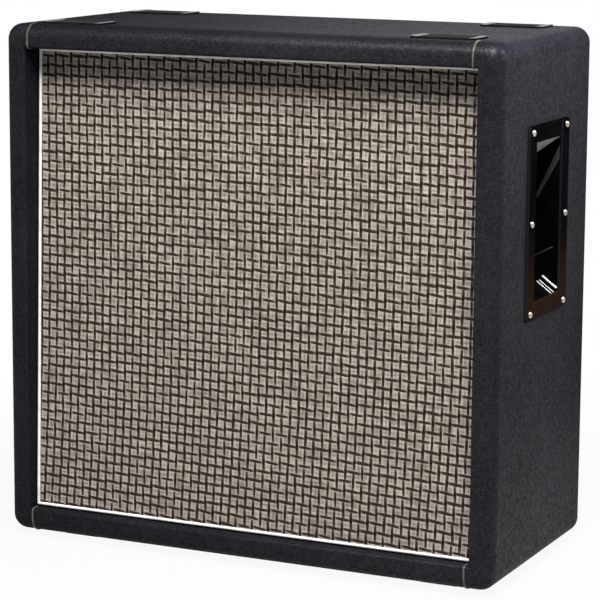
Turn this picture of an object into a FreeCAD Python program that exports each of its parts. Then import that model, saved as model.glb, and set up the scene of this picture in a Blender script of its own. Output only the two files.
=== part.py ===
import FreeCAD, Part
import math
import os
import re
import Sketcher

# A guitar speaker cabinet with four twelve-inch drivers, in millimetres.
# X runs to the right seen from the front, Y to the back and Z up; the feet stand on Z = 0.

# Driving sizes
SIZES = {
    # Shell: finger-jointed plywood box under a glued vinyl skin
    "shell_width": 770,
    "shell_height": 755,
    "shell_depth": 371,
    "panel": 18,
    "vinyl": 1,
    "side_round": 23,
    "front_round": 20,
    "rear_round": 13,
    "frame_face": 35,
    "frame_round": 5,
    "corner_block": 22,
    # Back: loose panel screwed to cleats
    "back_panel": 15,
    "back_recess": 8,
    "back_gap": 1,
    "cleat": 20,
    "post": 45,
    # Grille, leaning back at the top
    "grille_recess": 32.5,
    "grille_tilt": 1.7,
    "grille_board": 9,
    "grille_gap": 1.6,
    "cloth": 1.2,
    "piping_radius": 2.2,
    "piping_tape": 1,
    # Beading on the four corner seams of the skin
    "seam_inset": 5.5,
    "seam_width": 2.2,
    "seam_proud": 1.2,
    "seam_gap": 0.05,
    "seam_tail": 6,
    "seam_reach": 15,
    # Baffle
    "baffle": 18,
    "baffle_gap": 2.5,
    "cutout_radius": 141,
    "speaker_x": 168,
    "speaker_z": 168,
    "driver_room_x": 732,
    "driver_room_z": 717,
    # Recessed side handles
    "handle_y": 6,
    "handle_drop": 258,
    "handle_width": 165,
    "handle_height": 273,
    "handle_plate": 2.5,
    "handle_corner": 7,
    "plate_round": 1,
    "grip_frame_y": 31,
    "grip_frame_z": 24.5,
    "bucket_depth": 60,
    "bucket_wall": 2,
    "bucket_gap": 1,
    "roof_drop": 44,
    "ramp_rise": 44,
    "handle_screw_inset_y": 14,
    "handle_screw_inset_z": 9.7,
    # Stacking trays on the top and the feet that stand in such trays
    "tray_inset_x": 97,
    "tray_inset_y": 54.5,
    "tray_length": 97,
    "tray_width": 50,
    "tray_floor": 2.5,
    "tray_lip": 3.2,
    "lip_top": 4,
    "lip_slope": 10,
    "tray_corner": 5,
    "tray_screw_x": 24,
    "foot_inset_y": 63.5,
    "foot_height": 10,
    "foot_length": 62,
    "foot_width": 32,
    "foot_corner": 6,
    "foot_screw_x": 18,
    "foot_counterbore": 5,
    "foot_bore_radius": 6,
    # Jack plate on the back panel
    "jack_drop": 190,
    "jack_plate": 2,
    "jack_plate_width": 92,
    "jack_plate_height": 64,
    "jack_hatch_width": 50,
    "jack_hatch_height": 38,
    "jack_screw_inset": 8,
    "jack_body": 20,
    "jack_body_depth": 24,
    "jack_bush_radius": 4.75,
    "jack_bore_radius": 3.25,
    "jack_bore_depth": 27,
    "jack_clearance": 0.1,
    "jack_washer": 0.8,
    "jack_washer_radius": 8,
    "jack_nut": 3,
    "jack_nut_flats": 14,
    "jack_bush_proud": 1,
    # Driver: pressed basket
    "basket_radius": 154.5,
    "basket_steel": 1.6,
    "basket_mouth": 138,
    "gasket": 3,
    "gasket_lip": 0.5,
    "spider_seat_radius": 66,
    "spider_seat_depth": 62,
    "cup_radius": 58,
    "cup_depth": 78,
    "cup_bore_radius": 26,
    "window_inner": 82,
    "window_outer": 126,
    "window_inner_half": 17,
    "window_outer_half": 32,
    "bolt_circle": 148.5,
    "strip_length": 30,
    "strip_width": 16,
    "strip": 2,
    # Driver: moving system
    "cone_radius": 121.7,
    "cone_paper": 1.2,
    "cone_neck_depth": 54,
    "cap_radius": 30,
    "cap_height": 11,
    "cap_paper": 0.8,
    "coil_radius": 22.3,
    "coil_former": 0.4,
    "coil_wire": 0.6,
    "coil_front": 52,
    "coil_rear": 89,
    "winding_front": 77,
    "winding_rear": 88,
    "glue_line": 0.1,
    "moving_gap": 0.3,
    "edge_paper": 0.8,
    "edge_wave": 1.4,
    "spider_cloth": 0.8,
    "spider_wave": 1.5,
    # Driver: magnet system
    "air_gap": 0.5,
    "top_plate": 7,
    "top_plate_radius": 55,
    "magnet": 18,
    "magnet_radius": 78,
    "magnet_bore_radius": 30,
    "yoke": 6,
    "yoke_radius": 66,
    "vent_radius": 7,
    # Fasteners
    "wood_screw_radius": 2,
    "dome_radius": 4.75,
    "dome_height": 4,
    "dome_length": 19,
    "back_screw_head": 4.5,
    "back_screw_height": 2.8,
    "back_screw_length": 30,
    "baffle_screw_length": 25,
    "small_screw_head": 3.6,
    "small_screw_height": 1.8,
    "small_screw_length": 12,
    "small_screw_radius": 1.5,
    "bolt_radius": 2.5,
    "bolt_head": 4.5,
    "bolt_height": 3.5,
    "bolt_short": 1,
    "tee_disc": 1.5,
    "tee_disc_radius": 9,
    "tee_barrel": 10,
    "tee_barrel_radius": 3.8,
    # Wiring inside
    "wire_radius": 2,
    "wire_lead": 60,
    "wire_inset": 6,
    "wire_spread": 5,
    # Cuts
    "cut_overrun": 4,
}

# Sizes of a driver and its place, which follow the room inside the shell
DRIVER_SIZES = (
    "cutout_radius", "speaker_x", "speaker_z", "basket_radius", "basket_mouth", "spider_seat_radius",
    "spider_seat_depth", "cup_radius", "cup_depth", "cup_bore_radius", "window_inner", "window_outer",
    "window_inner_half", "window_outer_half", "bolt_circle", "cone_radius", "cone_neck_depth", "cap_radius",
    "cap_height", "coil_radius", "coil_front", "coil_rear", "winding_front", "winding_rear", "top_plate",
    "top_plate_radius", "magnet", "magnet_radius", "magnet_bore_radius", "yoke", "yoke_radius", "vent_radius")
DRIVER_FIT = ("min((shell_width - 2 * (vinyl + panel)) / driver_room_x; "
              "(shell_height - 2 * (vinyl + panel)) / driver_room_z)")

# Counts and shares
FINGER_PAIRS = 10
BASKET_WINDOWS = 8
EDGE_WAVES = 2
SPIDER_WAVES = 4
BACK_SCREW_X_SHARES = (-0.8, -0.27, 0.27, 0.8)
BACK_SCREW_Z_SHARES = (-0.6, 0, 0.6)
BAFFLE_SCREW_X_SHARES = (-0.6, 0, 0.6)
BAFFLE_SCREW_Z_SHARES = (-0.85, -0.3, 0.3, 0.85)
GRILLE_SCREW_SHARE = 0.7
DOME_SHARE = 0.92
BEND_SHARE = 0.45
NEAR = 1e-4

# Turns of a piece that is drawn upright
UPRIGHT = None
TO_FRONT_X = FreeCAD.Vector(-1, 0, 0)
ABOUT_Y = FreeCAD.Vector(0, 1, 0)
ABOUT_X = FreeCAD.Vector(1, 0, 0)

# Places worked out from the driving sizes
HALF = "(shell_width / 2)"
FRONT = "(seam_proud / 2 - shell_depth / 2)"
REAR = "(seam_proud / 2 + shell_depth / 2)"
BASE = "foot_height"
TOP = "(foot_height + shell_height)"
MID = "(foot_height + shell_height / 2)"
INNER = f"({HALF} - vinyl - panel)"
INNER_Z = "(shell_height / 2 - vinyl - panel)"
FLOOR = f"({BASE} + vinyl + panel)"
CEILING = f"({TOP} - vinyl - panel)"
OPEN_X = f"({HALF} - frame_face)"
OPEN_Z = "(shell_height / 2 - frame_face)"
OPEN_LOW = f"({BASE} + frame_face)"
OPEN_HIGH = f"({TOP} - frame_face)"
PANEL_OUT = f"({REAR} - back_recess)"
PANEL_IN = f"({PANEL_OUT} - back_panel)"
PIVOT_Y = f"({FRONT} + grille_recess)"
BAFFLE_FRONT = "(cloth + grille_board)"
BAFFLE_REAR = f"({BAFFLE_FRONT} + baffle)"
LEAN = "(tan(grille_tilt) * shell_height / 2)"
REVEAL = f"(grille_recess + {BAFFLE_FRONT} + {LEAN} + cut_overrun)"
GRIP_Z = f"({TOP} - handle_drop)"
GRIP_WIDTH = "(handle_width - 2 * grip_frame_y)"
GRIP_HEIGHT = "(handle_height - 2 * grip_frame_z)"
HANDLE_SCREW_Y = "(handle_width / 2 - handle_screw_inset_y)"
HANDLE_SCREW_Z = "(handle_height / 2 - handle_screw_inset_z)"
TRAY_X = f"({HALF} - tray_inset_x)"
TRAY_Y = "(shell_depth / 2 - tray_inset_y)"
FOOT_Y = "(shell_depth / 2 - foot_inset_y)"
JACK_Z = f"({MID} - jack_drop)"
FLANGE = "gasket"
FLANGE_REAR = "(gasket + basket_steel)"
CUP_REAR = "(cup_depth + basket_steel)"
MAGNET_FRONT = f"({CUP_REAR} + top_plate)"
MAGNET_REAR = f"({MAGNET_FRONT} + magnet)"
YOKE_REAR = f"({MAGNET_REAR} + yoke)"
COIL_OUT = "(coil_radius + coil_former)"
WINDING_OUT = f"({COIL_OUT} + coil_wire)"
STEP_REAR = "(spider_seat_depth + basket_steel)"
STRIP_IN = "(cup_radius + basket_steel + cut_overrun / 4)"

doc = FreeCAD.newDocument("SpeakerCabinet")
sheet = doc.addObject("Spreadsheet::Sheet", "Sizes")
for row, (alias, value) in enumerate(SIZES.items(), start=1):
    sheet.set(f"A{row}", alias)
    sheet.setAlias(f"B{row}", alias)
for row, (alias, value) in enumerate(SIZES.items(), start=1):
    sheet.set(f"B{row}", f"={value} * {DRIVER_FIT}" if alias in DRIVER_SIZES else str(value))
doc.recompute()

nodes = []


# Expressions
def sized(text):
    """Point each size's name in an expression at its cell."""
    return re.sub(r"[a-z_]+", lambda m: f"Sizes.{m[0]}" if m[0] in SIZES else m[0], text)


def number(text):
    return float(sheet.evalExpression(sized(text)))


def bind(obj, prop, text):
    obj.setExpression(prop, sized(text))


def minus(text):
    return f"(-({text}))"


def both(text):
    """The span from minus a half size to plus it."""
    return minus(text), text


def leaning(x, y, z):
    """A point given on the leaning grille: right, back from the cloth's face, and up from its middle."""
    back = f"({PIVOT_Y} + ({y}) * cos(grille_tilt) + ({z}) * sin(grille_tilt))"
    up = f"({MID} - ({y}) * sin(grille_tilt) + ({z}) * cos(grille_tilt))"
    return x, back, up


def place(obj, x, y, z, axis=UPRIGHT, angle="0"):
    turn = FreeCAD.Rotation(axis, number(angle)) if axis else FreeCAD.Rotation()
    obj.Placement = FreeCAD.Placement(FreeCAD.Vector(number(x), number(y), number(z)), turn)
    bind(obj, "Placement.Base.x", x)
    bind(obj, "Placement.Base.y", y)
    bind(obj, "Placement.Base.z", z)
    if axis:
        bind(obj, "Placement.Rotation.Angle", angle)
    return obj


# Primitives and booleans
def block(name, x, y, z, leans=False):
    """A box between two places on each axis, square to the shell or to the leaning grille."""
    box = doc.addObject("Part::Box", name)
    for prop, (low, high) in zip(("Length", "Width", "Height"), (x, y, z)):
        bind(box, prop, f"({high}) - ({low})")
    if leans:
        return place(box, *leaning(x[0], y[0], z[0]), TO_FRONT_X, "grille_tilt")
    return place(box, x[0], y[0], z[0])


def rod(name, radius, length):
    cylinder = doc.addObject("Part::Cylinder", name)
    bind(cylinder, "Radius", radius)
    bind(cylinder, "Height", length)
    return cylinder


def group(name, parts):
    compound = doc.addObject("Part::Compound", name)
    compound.Links = parts
    return compound


def fuse(name, parts):
    whole = doc.addObject("Part::MultiFuse", name)
    whole.Shapes = parts
    return whole


def cut(name, base, *tools):
    for step, tool in enumerate(tools, start=1):
        last = step == len(tools)
        result = doc.addObject("Part::Cut", name if last else f"{name}_cut")
        result.Base = base
        result.Tool = tool
        base = result
    return base


def common(name, base, tool):
    result = doc.addObject("Part::Common", name)
    result.Base = base
    result.Tool = tool
    return result


def mirror(name, source, normal, height="0"):
    twin = doc.addObject("Part::Mirroring", name)
    twin.Source = source
    twin.Normal = normal
    bind(twin, "Base.z", height)
    return twin


def copies(name, master, places):
    """Copies of one drawn piece, as separate solids of one group."""
    links = []
    for spot in places:
        link = doc.addObject("App::Link", f"{name}_copy")
        link.LinkedObject = master
        links.append(place(link, *spot))
    return group(name, links)


def node(label, obj):
    obj.Label = label
    nodes.append(obj)
    return obj


# Sketched bodies
def body(name):
    return doc.addObject("PartDesign::Body", name)


def outline(owner, role, points, level="0", arcs=None):
    """A closed sketch through points; arcs gives, for a side's number, its radius and centre."""
    arcs = arcs or {}
    plane = next(item for item in owner.Origin.OriginFeatures if item.Role == role)
    sketch = owner.newObject("Sketcher::SketchObject", f"{owner.Name}_outline")
    sketch.AttachmentSupport = (plane, [""])
    sketch.MapMode = "FlatFace"
    sketch.AttachmentOffset = FreeCAD.Placement(FreeCAD.Vector(0, 0, number(level)), FreeCAD.Rotation())
    bind(sketch, "AttachmentOffset.Base.z", level)
    spots = [FreeCAD.Vector(number(u), number(v), 0) for u, v in points]
    ends = []
    for side, start in enumerate(spots):
        end = spots[(side + 1) % len(spots)]
        if side in arcs:
            radius, centre_u, centre_v = arcs[side]
            centre = FreeCAD.Vector(number(centre_u), number(centre_v), 0)
            angles = [math.atan2(p.y - centre.y, p.x - centre.x) for p in (start, end)]
            forward = math.sin(angles[1] - angles[0]) > 0
            circle = Part.Circle(centre, FreeCAD.Vector(0, 0, 1), number(radius))
            low, high = angles if forward else reversed(angles)
            sketch.addGeometry(Part.ArcOfCircle(circle, low, high), False)
            ends.append((1, 2) if forward else (2, 1))
            pin = sketch.addConstraint(Sketcher.Constraint("Radius", side, number(radius)))
            bind(sketch, f"Constraints[{pin}]", radius)
        else:
            sketch.addGeometry(Part.LineSegment(start, end), False)
            ends.append((1, 2))
    for side, (first, last) in enumerate(ends):
        after = (side + 1) % len(ends)
        sketch.addConstraint(Sketcher.Constraint("Coincident", side, last, after, ends[after][0]))
    for side, (u, v) in enumerate(points):
        for kind, text in (("DistanceX", u), ("DistanceY", v)):
            pin = sketch.addConstraint(Sketcher.Constraint(kind, -1, 1, side, ends[side][0], number(text)))
            bind(sketch, f"Constraints[{pin}]", text)
    return sketch


def rectangle(owner, role, u, v, level="0"):
    return outline(owner, role, [(u[0], v[0]), (u[1], v[0]), (u[1], v[1]), (u[0], v[1])], level)


def pad(owner, sketch, length, midplane=False):
    feature = owner.newObject("PartDesign::Pad", f"{owner.Name}_pad")
    feature.Profile = sketch
    feature.Midplane = midplane
    bind(feature, "Length", length)
    return feature


def pocket(owner, sketch, length, midplane=False, backwards=False):
    feature = owner.newObject("PartDesign::Pocket", f"{owner.Name}_pocket")
    feature.Profile = sketch
    feature.Midplane = midplane
    feature.Reversed = backwards
    bind(feature, "Length", length)
    return feature


def turned(name, points, arcs=None):
    """A body turned about Z from (radius, height) points."""
    owner = body(name)
    feature = owner.newObject("PartDesign::Revolution", f"{name}_turn")
    feature.Profile = outline(owner, "XZ_Plane", points, arcs=arcs)
    feature.ReferenceAxis = (feature.Profile[0], ["V_Axis"])
    feature.Angle = 360
    return owner


def round_edges(owner, feature, radius, chosen):
    """Fillet the edges that a test on their bounding box picks."""
    doc.recompute()
    feature_edges = enumerate(feature.Shape.Edges, start=1)
    names = [f"Edge{i}" for i, edge in feature_edges if chosen(edge.BoundBox)]
    fillet = owner.newObject("PartDesign::Fillet", f"{owner.Name}_round")
    fillet.Base = (feature, names)
    bind(fillet, "Radius", radius)
    return fillet


def flat(low, high, level):
    return abs(low - level) < NEAR and abs(high - level) < NEAR


# Screws, drawn upright with the head's seat at height 0
def screw(name, head_radius, head_height, shank_radius, length):
    owner = turned(name, [
        ("0", head_height), (head_radius, head_height), (head_radius, "0"),
        (shank_radius, "0"), (shank_radius, minus(length)), ("0", minus(length))])
    top = number(head_height)
    round_edges(owner, owner.Tip, f"{head_height} * {DOME_SHARE}",
                lambda box: flat(box.ZMin, box.ZMax, top) and box.XLength > number(shank_radius))
    return owner


# Shell: one rounded form for the skin's outside, one for the wood under it
def shell_form(name, inset):
    owner = body(name)
    side = f"({HALF} - {inset})"
    front = f"({FRONT} + {inset})"
    rear = f"({REAR} - {inset})"
    low = f"({BASE} + {inset})"
    high = f"({TOP} - {inset})"
    window = f"({OPEN_X} + {inset})"
    front_at = number(front)
    rear_at = number(rear)
    window_at = number(window)
    form = pad(owner, rectangle(owner, "XY_Plane", both(side), (front, rear), low), f"{high} - {low}")
    form = round_edges(owner, form, f"side_round - {inset}",
                       lambda box: box.XLength < NEAR and box.ZLength < NEAR)
    form = round_edges(owner, form, f"front_round - {inset}",
                       lambda box: flat(box.YMin, box.YMax, front_at))
    form = round_edges(owner, form, f"rear_round - {inset}",
                       lambda box: flat(box.YMin, box.YMax, rear_at))
    opening = rectangle(owner, "XZ_Plane", both(window),
                        (f"{OPEN_LOW} - {inset}", f"{OPEN_HIGH} + {inset}"), minus(front))
    form = pocket(owner, opening, REVEAL)
    form = round_edges(owner, form, f"frame_round - {inset}",
                       lambda box: flat(box.YMin, box.YMax, front_at)
                       and max(-box.XMin, box.XMax) < window_at + NEAR)
    lining = f"(vinyl - {inset})"
    opening = rectangle(owner, "XZ_Plane", both(f"({INNER} - {lining})"),
                        (f"{FLOOR} + {lining}", f"{CEILING} - {lining}"), minus(rear))
    pocket(owner, opening, f"back_recess + back_panel - {inset}", backwards=True)
    return owner


skin_form = shell_form("skin_form", "0")
core_form = shell_form("core_form", "vinyl")
baffle_space = block("baffle_space", both(INNER), (BAFFLE_FRONT, f"{BAFFLE_REAR} + {REVEAL}"),
                     both(INNER_Z), leans=True)
front_space = block("front_space", both("post"), (minus("post"), BAFFLE_REAR), both("post"), leans=True)

# Fasteners that pass through several pieces, made first so that each piece is drilled by them
dome_screw = screw("dome_screw", "dome_radius", "dome_height", "wood_screw_radius", "dome_length")
back_screw = screw("back_screw", "back_screw_head", "back_screw_height", "wood_screw_radius",
                   "back_screw_length")
baffle_screw = screw("baffle_screw", "back_screw_head", "back_screw_height", "wood_screw_radius",
                     "baffle_screw_length")
small_screw = screw("small_screw", "small_screw_head", "small_screw_height", "small_screw_radius",
                    "small_screw_length")
speaker_bolt = screw("speaker_bolt", "bolt_head", "bolt_height", "bolt_radius",
                     "gasket + basket_steel + baffle - bolt_short")

handle_spots = []
for sign, turn in (("", "90"), ("-", "-90")):
    for column in ("-", ""):
        for row in ("-", "0 * ", ""):
            handle_spots.append((f"{sign}({HALF} + handle_plate)", f"handle_y + {column}{HANDLE_SCREW_Y}",
                                 f"{GRIP_Z} + {row}{HANDLE_SCREW_Z}", ABOUT_Y, turn))
handle_screws = node("handle_screws", copies("handle_screws", dome_screw, handle_spots))

corners = [(sx, sy) for sx in ("-", "") for sy in ("-", "")]
tray_places = [(f"{sx}{TRAY_X}", f"{sy}{TRAY_Y}") for sx, sy in corners]
foot_places = [(f"{sx}{TRAY_X}", f"{sy}{FOOT_Y}") for sx, sy in corners]
tray_spots = [(f"{x} + {end}tray_screw_x", y, f"{TOP} + tray_floor - small_screw_height")
              for x, y in tray_places for end in ("-", "")]
foot_spots = [(f"{x} + {end}foot_screw_x", y, "foot_counterbore", ABOUT_X, "180")
              for x, y in foot_places for end in ("-", "")]
tray_screws = node("tray_screws", copies("tray_screws", small_screw, tray_spots))
foot_screws = node("foot_screws", copies("foot_screws", small_screw, foot_spots))

back_spots = [("0", PANEL_OUT, MID)]
for share in BACK_SCREW_X_SHARES:
    for height in (f"{FLOOR} + cleat / 2", f"{CEILING} - cleat / 2"):
        back_spots.append((f"{share} * {INNER}", PANEL_OUT, height))
for share in BACK_SCREW_Z_SHARES:
    for x in both(f"({INNER} - cleat / 2)"):
        back_spots.append((x, PANEL_OUT, f"{MID} + {share} * {INNER_Z}"))
back_spots = [(*spot, TO_FRONT_X, "90") for spot in back_spots]
back_panel_screws = node("back_panel_screws", copies("back_panel_screws", back_screw, back_spots))

batten_x = f"(({OPEN_X} + vinyl + {INNER}) / 2)"
batten_z = f"(({OPEN_Z} + vinyl + {INNER_Z}) / 2)"
baffle_spots = [(x, f"{share} * {INNER_Z}") for share in BAFFLE_SCREW_Z_SHARES for x in both(batten_x)]
baffle_spots += [(f"{share} * {OPEN_X}", z) for share in BAFFLE_SCREW_X_SHARES for z in both(batten_z)]
baffle_spots += [(x, "0") for x in both(f"({GRILLE_SCREW_SHARE} * speaker_x)")]
baffle_spots += [("0", z) for z in both(f"({GRILLE_SCREW_SHARE} * speaker_z)")]
baffle_spots = [(*leaning(x, BAFFLE_REAR, z), TO_FRONT_X, "90 + grille_tilt") for x, z in baffle_spots]
baffle_screws = node("baffle_screws", copies("baffle_screws", baffle_screw, baffle_spots))

# Driver centres on the baffle, from the top left, and their bolts
centres = [(f"{sx}speaker_x", f"{sz}speaker_z") for sz in ("", "-") for sx in ("-", "")]
bolt_step = "(bolt_circle * sqrt(0.5))"
bolt_places = [(f"({x} + {dx}{bolt_step})", f"({z} + {dz}{bolt_step})")
               for x, z in centres for dx in ("-", "") for dz in ("-", "")]
bolt_spots = [(*leaning(x, f"{BAFFLE_REAR} + {FLANGE_REAR}", z), TO_FRONT_X, "90 + grille_tilt")
              for x, z in bolt_places]
speaker_bolts = node("speaker_bolts", copies("speaker_bolts", speaker_bolt, bolt_spots))
tee_nut = turned("tee_nut", [
    ("0", "0"), ("tee_disc_radius", "0"), ("tee_disc_radius", "tee_disc"), ("tee_barrel_radius", "tee_disc"),
    ("tee_barrel_radius", "tee_disc + tee_barrel"), ("0", "tee_disc + tee_barrel")])
tee_spots = [(*leaning(x, BAFFLE_FRONT, z), TO_FRONT_X, "90 + grille_tilt") for x, z in bolt_places]
tee_blanks = copies("tee_blanks", tee_nut, tee_spots)
tee_nuts = node("tee_nuts", cut("tee_nuts", tee_blanks, speaker_bolts))

# Panels, finger-jointed at the corners: slots in the level panels, tabs of theirs in the side panels
finger = f"((shell_depth - 2 * vinyl) / {2 * FINGER_PAIRS})"


def fingers(name, first, heights):
    """Boxes at every other finger along both corners, from the first or the second one on."""
    boxes = []
    for place_number in range(first, 2 * FINGER_PAIRS, 2):
        start = f"({FRONT} + vinyl + {place_number} * {finger})"
        for x in ((INNER, HALF), (minus(HALF), minus(INNER))):
            boxes += [block(name, x, (start, f"{start} + {finger}"), z) for z in heights]
    return group(f"{name}_set", boxes)


slots = fingers("finger_slot", 0, [(BASE, TOP)])
tabs = fingers("finger_tab", 1, [(BASE, FLOOR), (CEILING, TOP)])


def level_panel(label, z, screws):
    slab = block(f"{label}_slab", both(HALF), (FRONT, REAR), z)
    return node(label, cut(label, common(f"{label}_form", core_form, slab), slots, screws))


level_panel("top_panel", (CEILING, TOP), tray_screws)
level_panel("bottom_panel", (BASE, FLOOR), foot_screws)
hatch_y = f"({GRIP_WIDTH} / 2 + bucket_wall + bucket_gap)"
hatch_z = f"({GRIP_HEIGHT} / 2 + bucket_wall + bucket_gap)"
grip_hatch = block("grip_hatch", (f"{INNER} - cut_overrun", f"{HALF} + cut_overrun"),
                   (f"handle_y - {hatch_y}", f"handle_y + {hatch_y}"),
                   (f"{GRIP_Z} - {hatch_z}", f"{GRIP_Z} + {hatch_z}"))
side_slab = block("side_slab", (INNER, HALF), (FRONT, REAR), (BASE, TOP))
right_side_panel = node("right_side_panel", cut(
    "right_side_panel", common("side_form", core_form, side_slab), tabs, grip_hatch, handle_screws))
node("left_side_panel", mirror("left_side_panel", right_side_panel, ABOUT_X))

# Battens that make the frame round the grille
stile_z = (FLOOR, CEILING)
reveal_y = (FRONT, f"{FRONT} + {REVEAL}")
window_x = both(f"({OPEN_X} + vinyl)")


def batten(label, x, z):
    form = common(f"{label}_form", core_form, block(f"{label}_slab", x, reveal_y, z))
    return node(label, cut(label, form, baffle_space, baffle_screws))


right_batten = batten("front_batten_right", (window_x[1], INNER), stile_z)
node("front_batten_left", mirror("front_batten_left", right_batten, ABOUT_X))
batten("front_batten_top", window_x, (f"{OPEN_HIGH} + vinyl", CEILING))
batten("front_batten_bottom", window_x, (FLOOR, f"{OPEN_LOW} - vinyl"))

# Vinyl skin, turned in round the front frame and the rear edge
left_hatch = mirror("left_hatch", grip_hatch, ABOUT_X)
node("vinyl_covering", cut("vinyl_covering", skin_form, core_form, baffle_space, grip_hatch, left_hatch,
                           handle_screws, tray_screws, foot_screws))

# Beading on the corner seams, from inside the opening over the frame and the rounded front edge
seam = body("seam")
frame_y = f"({FRONT} + frame_round)"
frame_z = f"({OPEN_HIGH} + frame_round)"
edge_y = f"({FRONT} + front_round)"
edge_z = f"({TOP} - front_round)"


def seam_line(proud):
    return [(f"{FRONT} + seam_reach", f"{OPEN_HIGH} - {proud}"), (frame_y, f"{OPEN_HIGH} - {proud}"),
            (f"{FRONT} - {proud}", frame_z), (f"{FRONT} - {proud}", edge_z),
            (edge_y, f"{TOP} + {proud}"), (f"{edge_y} + seam_tail", f"{TOP} + {proud}")]


seam_sketch = outline(
    seam, "YZ_Plane", seam_line("seam_gap") + seam_line("seam_proud")[::-1], f"{OPEN_X} - seam_inset",
    arcs={1: ("frame_round + seam_gap", frame_y, frame_z), 3: ("front_round + seam_gap", edge_y, edge_z),
          7: ("front_round + seam_proud", edge_y, edge_z), 9: ("frame_round + seam_proud", frame_y, frame_z)})
pad(seam, seam_sketch, "seam_width", midplane=True)
seam_left = mirror("seam_left", seam, ABOUT_X)
seam_low = mirror("seam_low", seam, FreeCAD.Vector(0, 0, 1), MID)
seam_low_left = mirror("seam_low_left", seam_low, ABOUT_X)
node("corner_piping", group("corner_piping", [seam, seam_left, seam_low, seam_low_left]))

# Inside of the shell
cleat_y = (f"{PANEL_IN} - cleat", PANEL_IN)
side_z = (f"{FLOOR} + cleat", f"{CEILING} - cleat")
cleats = [
    block("cleat_low", both(INNER), cleat_y, (FLOOR, side_z[0])),
    block("cleat_high", both(INNER), cleat_y, (side_z[1], CEILING)),
    block("cleat_left", (minus(INNER), f"cleat - {INNER}"), cleat_y, side_z),
    block("cleat_right", (f"{INNER} - cleat", INNER), cleat_y, side_z)]
node("rear_cleats", cut("rear_cleats", group("cleat_set", cleats), back_panel_screws))
block_y = (f"{PIVOT_Y} + {BAFFLE_REAR} + {LEAN} + baffle_gap", cleat_y[0])
block_x = ((minus(INNER), f"corner_block - {INNER}"), (f"{INNER} - corner_block", INNER))
block_z = ((FLOOR, f"{FLOOR} + corner_block"), (f"{CEILING} - corner_block", CEILING))
node("corner_blocks", group("corner_blocks", [
    block("corner_block_piece", x, block_y, z) for x in block_x for z in block_z]))
post_form = block("post_form", both("post / 2"), (PIVOT_Y, PANEL_IN),
                  (f"{MID} - post / 2", f"{MID} + post / 2"))
node("centre_post", cut("centre_post", post_form, front_space, back_panel_screws))

# Baffle, leaning with the grille
baffle_blank = block("baffle_blank", both(f"({INNER} - baffle_gap)"), (BAFFLE_FRONT, BAFFLE_REAR),
                     both(f"({INNER_Z} - baffle_gap)"), leans=True)
cutouts = []
for x, z in centres:
    cutter = rod("cutout", "cutout_radius", f"{BAFFLE_REAR} + 2 * cut_overrun")
    cutouts.append(place(cutter, *leaning(x, minus("cut_overrun"), z), TO_FRONT_X, "90 + grille_tilt"))
cutouts = group("cutouts", cutouts)
node("baffle_board", cut("baffle_board", baffle_blank, cutouts, tee_blanks, speaker_bolts, baffle_screws))

# Grille: board with the same holes, cloth wrapped over it, and white piping round the edge
cloth_x = f"({OPEN_X} - grille_gap - piping_tape)"
cloth_z = f"({OPEN_Z} - grille_gap - piping_tape)"
board_blank = block("board_blank", both(f"({cloth_x} - cloth)"), ("cloth", BAFFLE_FRONT),
                    both(f"({cloth_z} - cloth)"), leans=True)
node("grille_board", cut("grille_board", board_blank, cutouts, baffle_screws))
cloth_blank = block("cloth_blank", both(cloth_x), ("0", BAFFLE_FRONT), both(cloth_z), leans=True)
node("grille_cloth", cut("grille_cloth", cloth_blank, board_blank))
bead_x = f"({OPEN_X} - grille_gap - piping_radius)"
bead_z = f"({OPEN_Z} - grille_gap - piping_radius)"
bead_y = minus("piping_radius")
bead = []
for z in both(bead_z):
    length = rod("bead_level", "piping_radius", f"2 * {bead_x}")
    bead.append(place(length, *leaning(minus(bead_x), bead_y, z), ABOUT_Y, "90"))
for x in both(bead_x):
    length = rod("bead_upright", "piping_radius", f"2 * {bead_z}")
    bead.append(place(length, *leaning(x, bead_y, minus(bead_z)), TO_FRONT_X, "grille_tilt"))
    for z in both(bead_z):
        corner = doc.addObject("Part::Sphere", "bead_corner")
        bind(corner, "Radius", "piping_radius")
        bead.append(place(corner, *leaning(x, bead_y, z)))
tape_blank = block("tape_blank", both(f"({OPEN_X} - grille_gap)"), (bead_y, BAFFLE_FRONT),
                   both(f"({OPEN_Z} - grille_gap)"), leans=True)
tape_hole = block("tape_hole", both(cloth_x), (f"{bead_y} - cut_overrun", f"{BAFFLE_FRONT} + cut_overrun"),
                  both(cloth_z), leans=True)
node("grille_piping", fuse("grille_piping", bead + [cut("piping_tape_ring", tape_blank, tape_hole)]))

# Handles: face plate, and a bucket with a sloping roof and a sloping floor
grip_y = (f"handle_y - {GRIP_WIDTH} / 2", f"handle_y + {GRIP_WIDTH} / 2")
grip_low = f"({GRIP_Z} - {GRIP_HEIGHT} / 2)"
grip_high = f"({GRIP_Z} + {GRIP_HEIGHT} / 2)"
plate = body("plate")
plate_sketch = rectangle(plate, "YZ_Plane", ("handle_y - handle_width / 2", "handle_y + handle_width / 2"),
                         (f"{GRIP_Z} - handle_height / 2", f"{GRIP_Z} + handle_height / 2"), HALF)
plate_form = round_edges(plate, pad(plate, plate_sketch, "handle_plate"), "handle_corner",
                         lambda box: box.YLength < NEAR and box.ZLength < NEAR)
plate_face = f"({HALF} + handle_plate)"
plate_form = pocket(plate, rectangle(plate, "YZ_Plane", grip_y, (grip_low, grip_high), plate_face),
                    "handle_plate")
face_at = number(plate_face)
round_edges(plate, plate_form, "plate_round", lambda box: flat(box.XMin, box.XMax, face_at))
right_plate = node("right_handle_plate", cut("right_handle_plate", plate, handle_screws))
node("left_handle_plate", mirror("left_handle_plate", right_plate, ABOUT_X))


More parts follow.
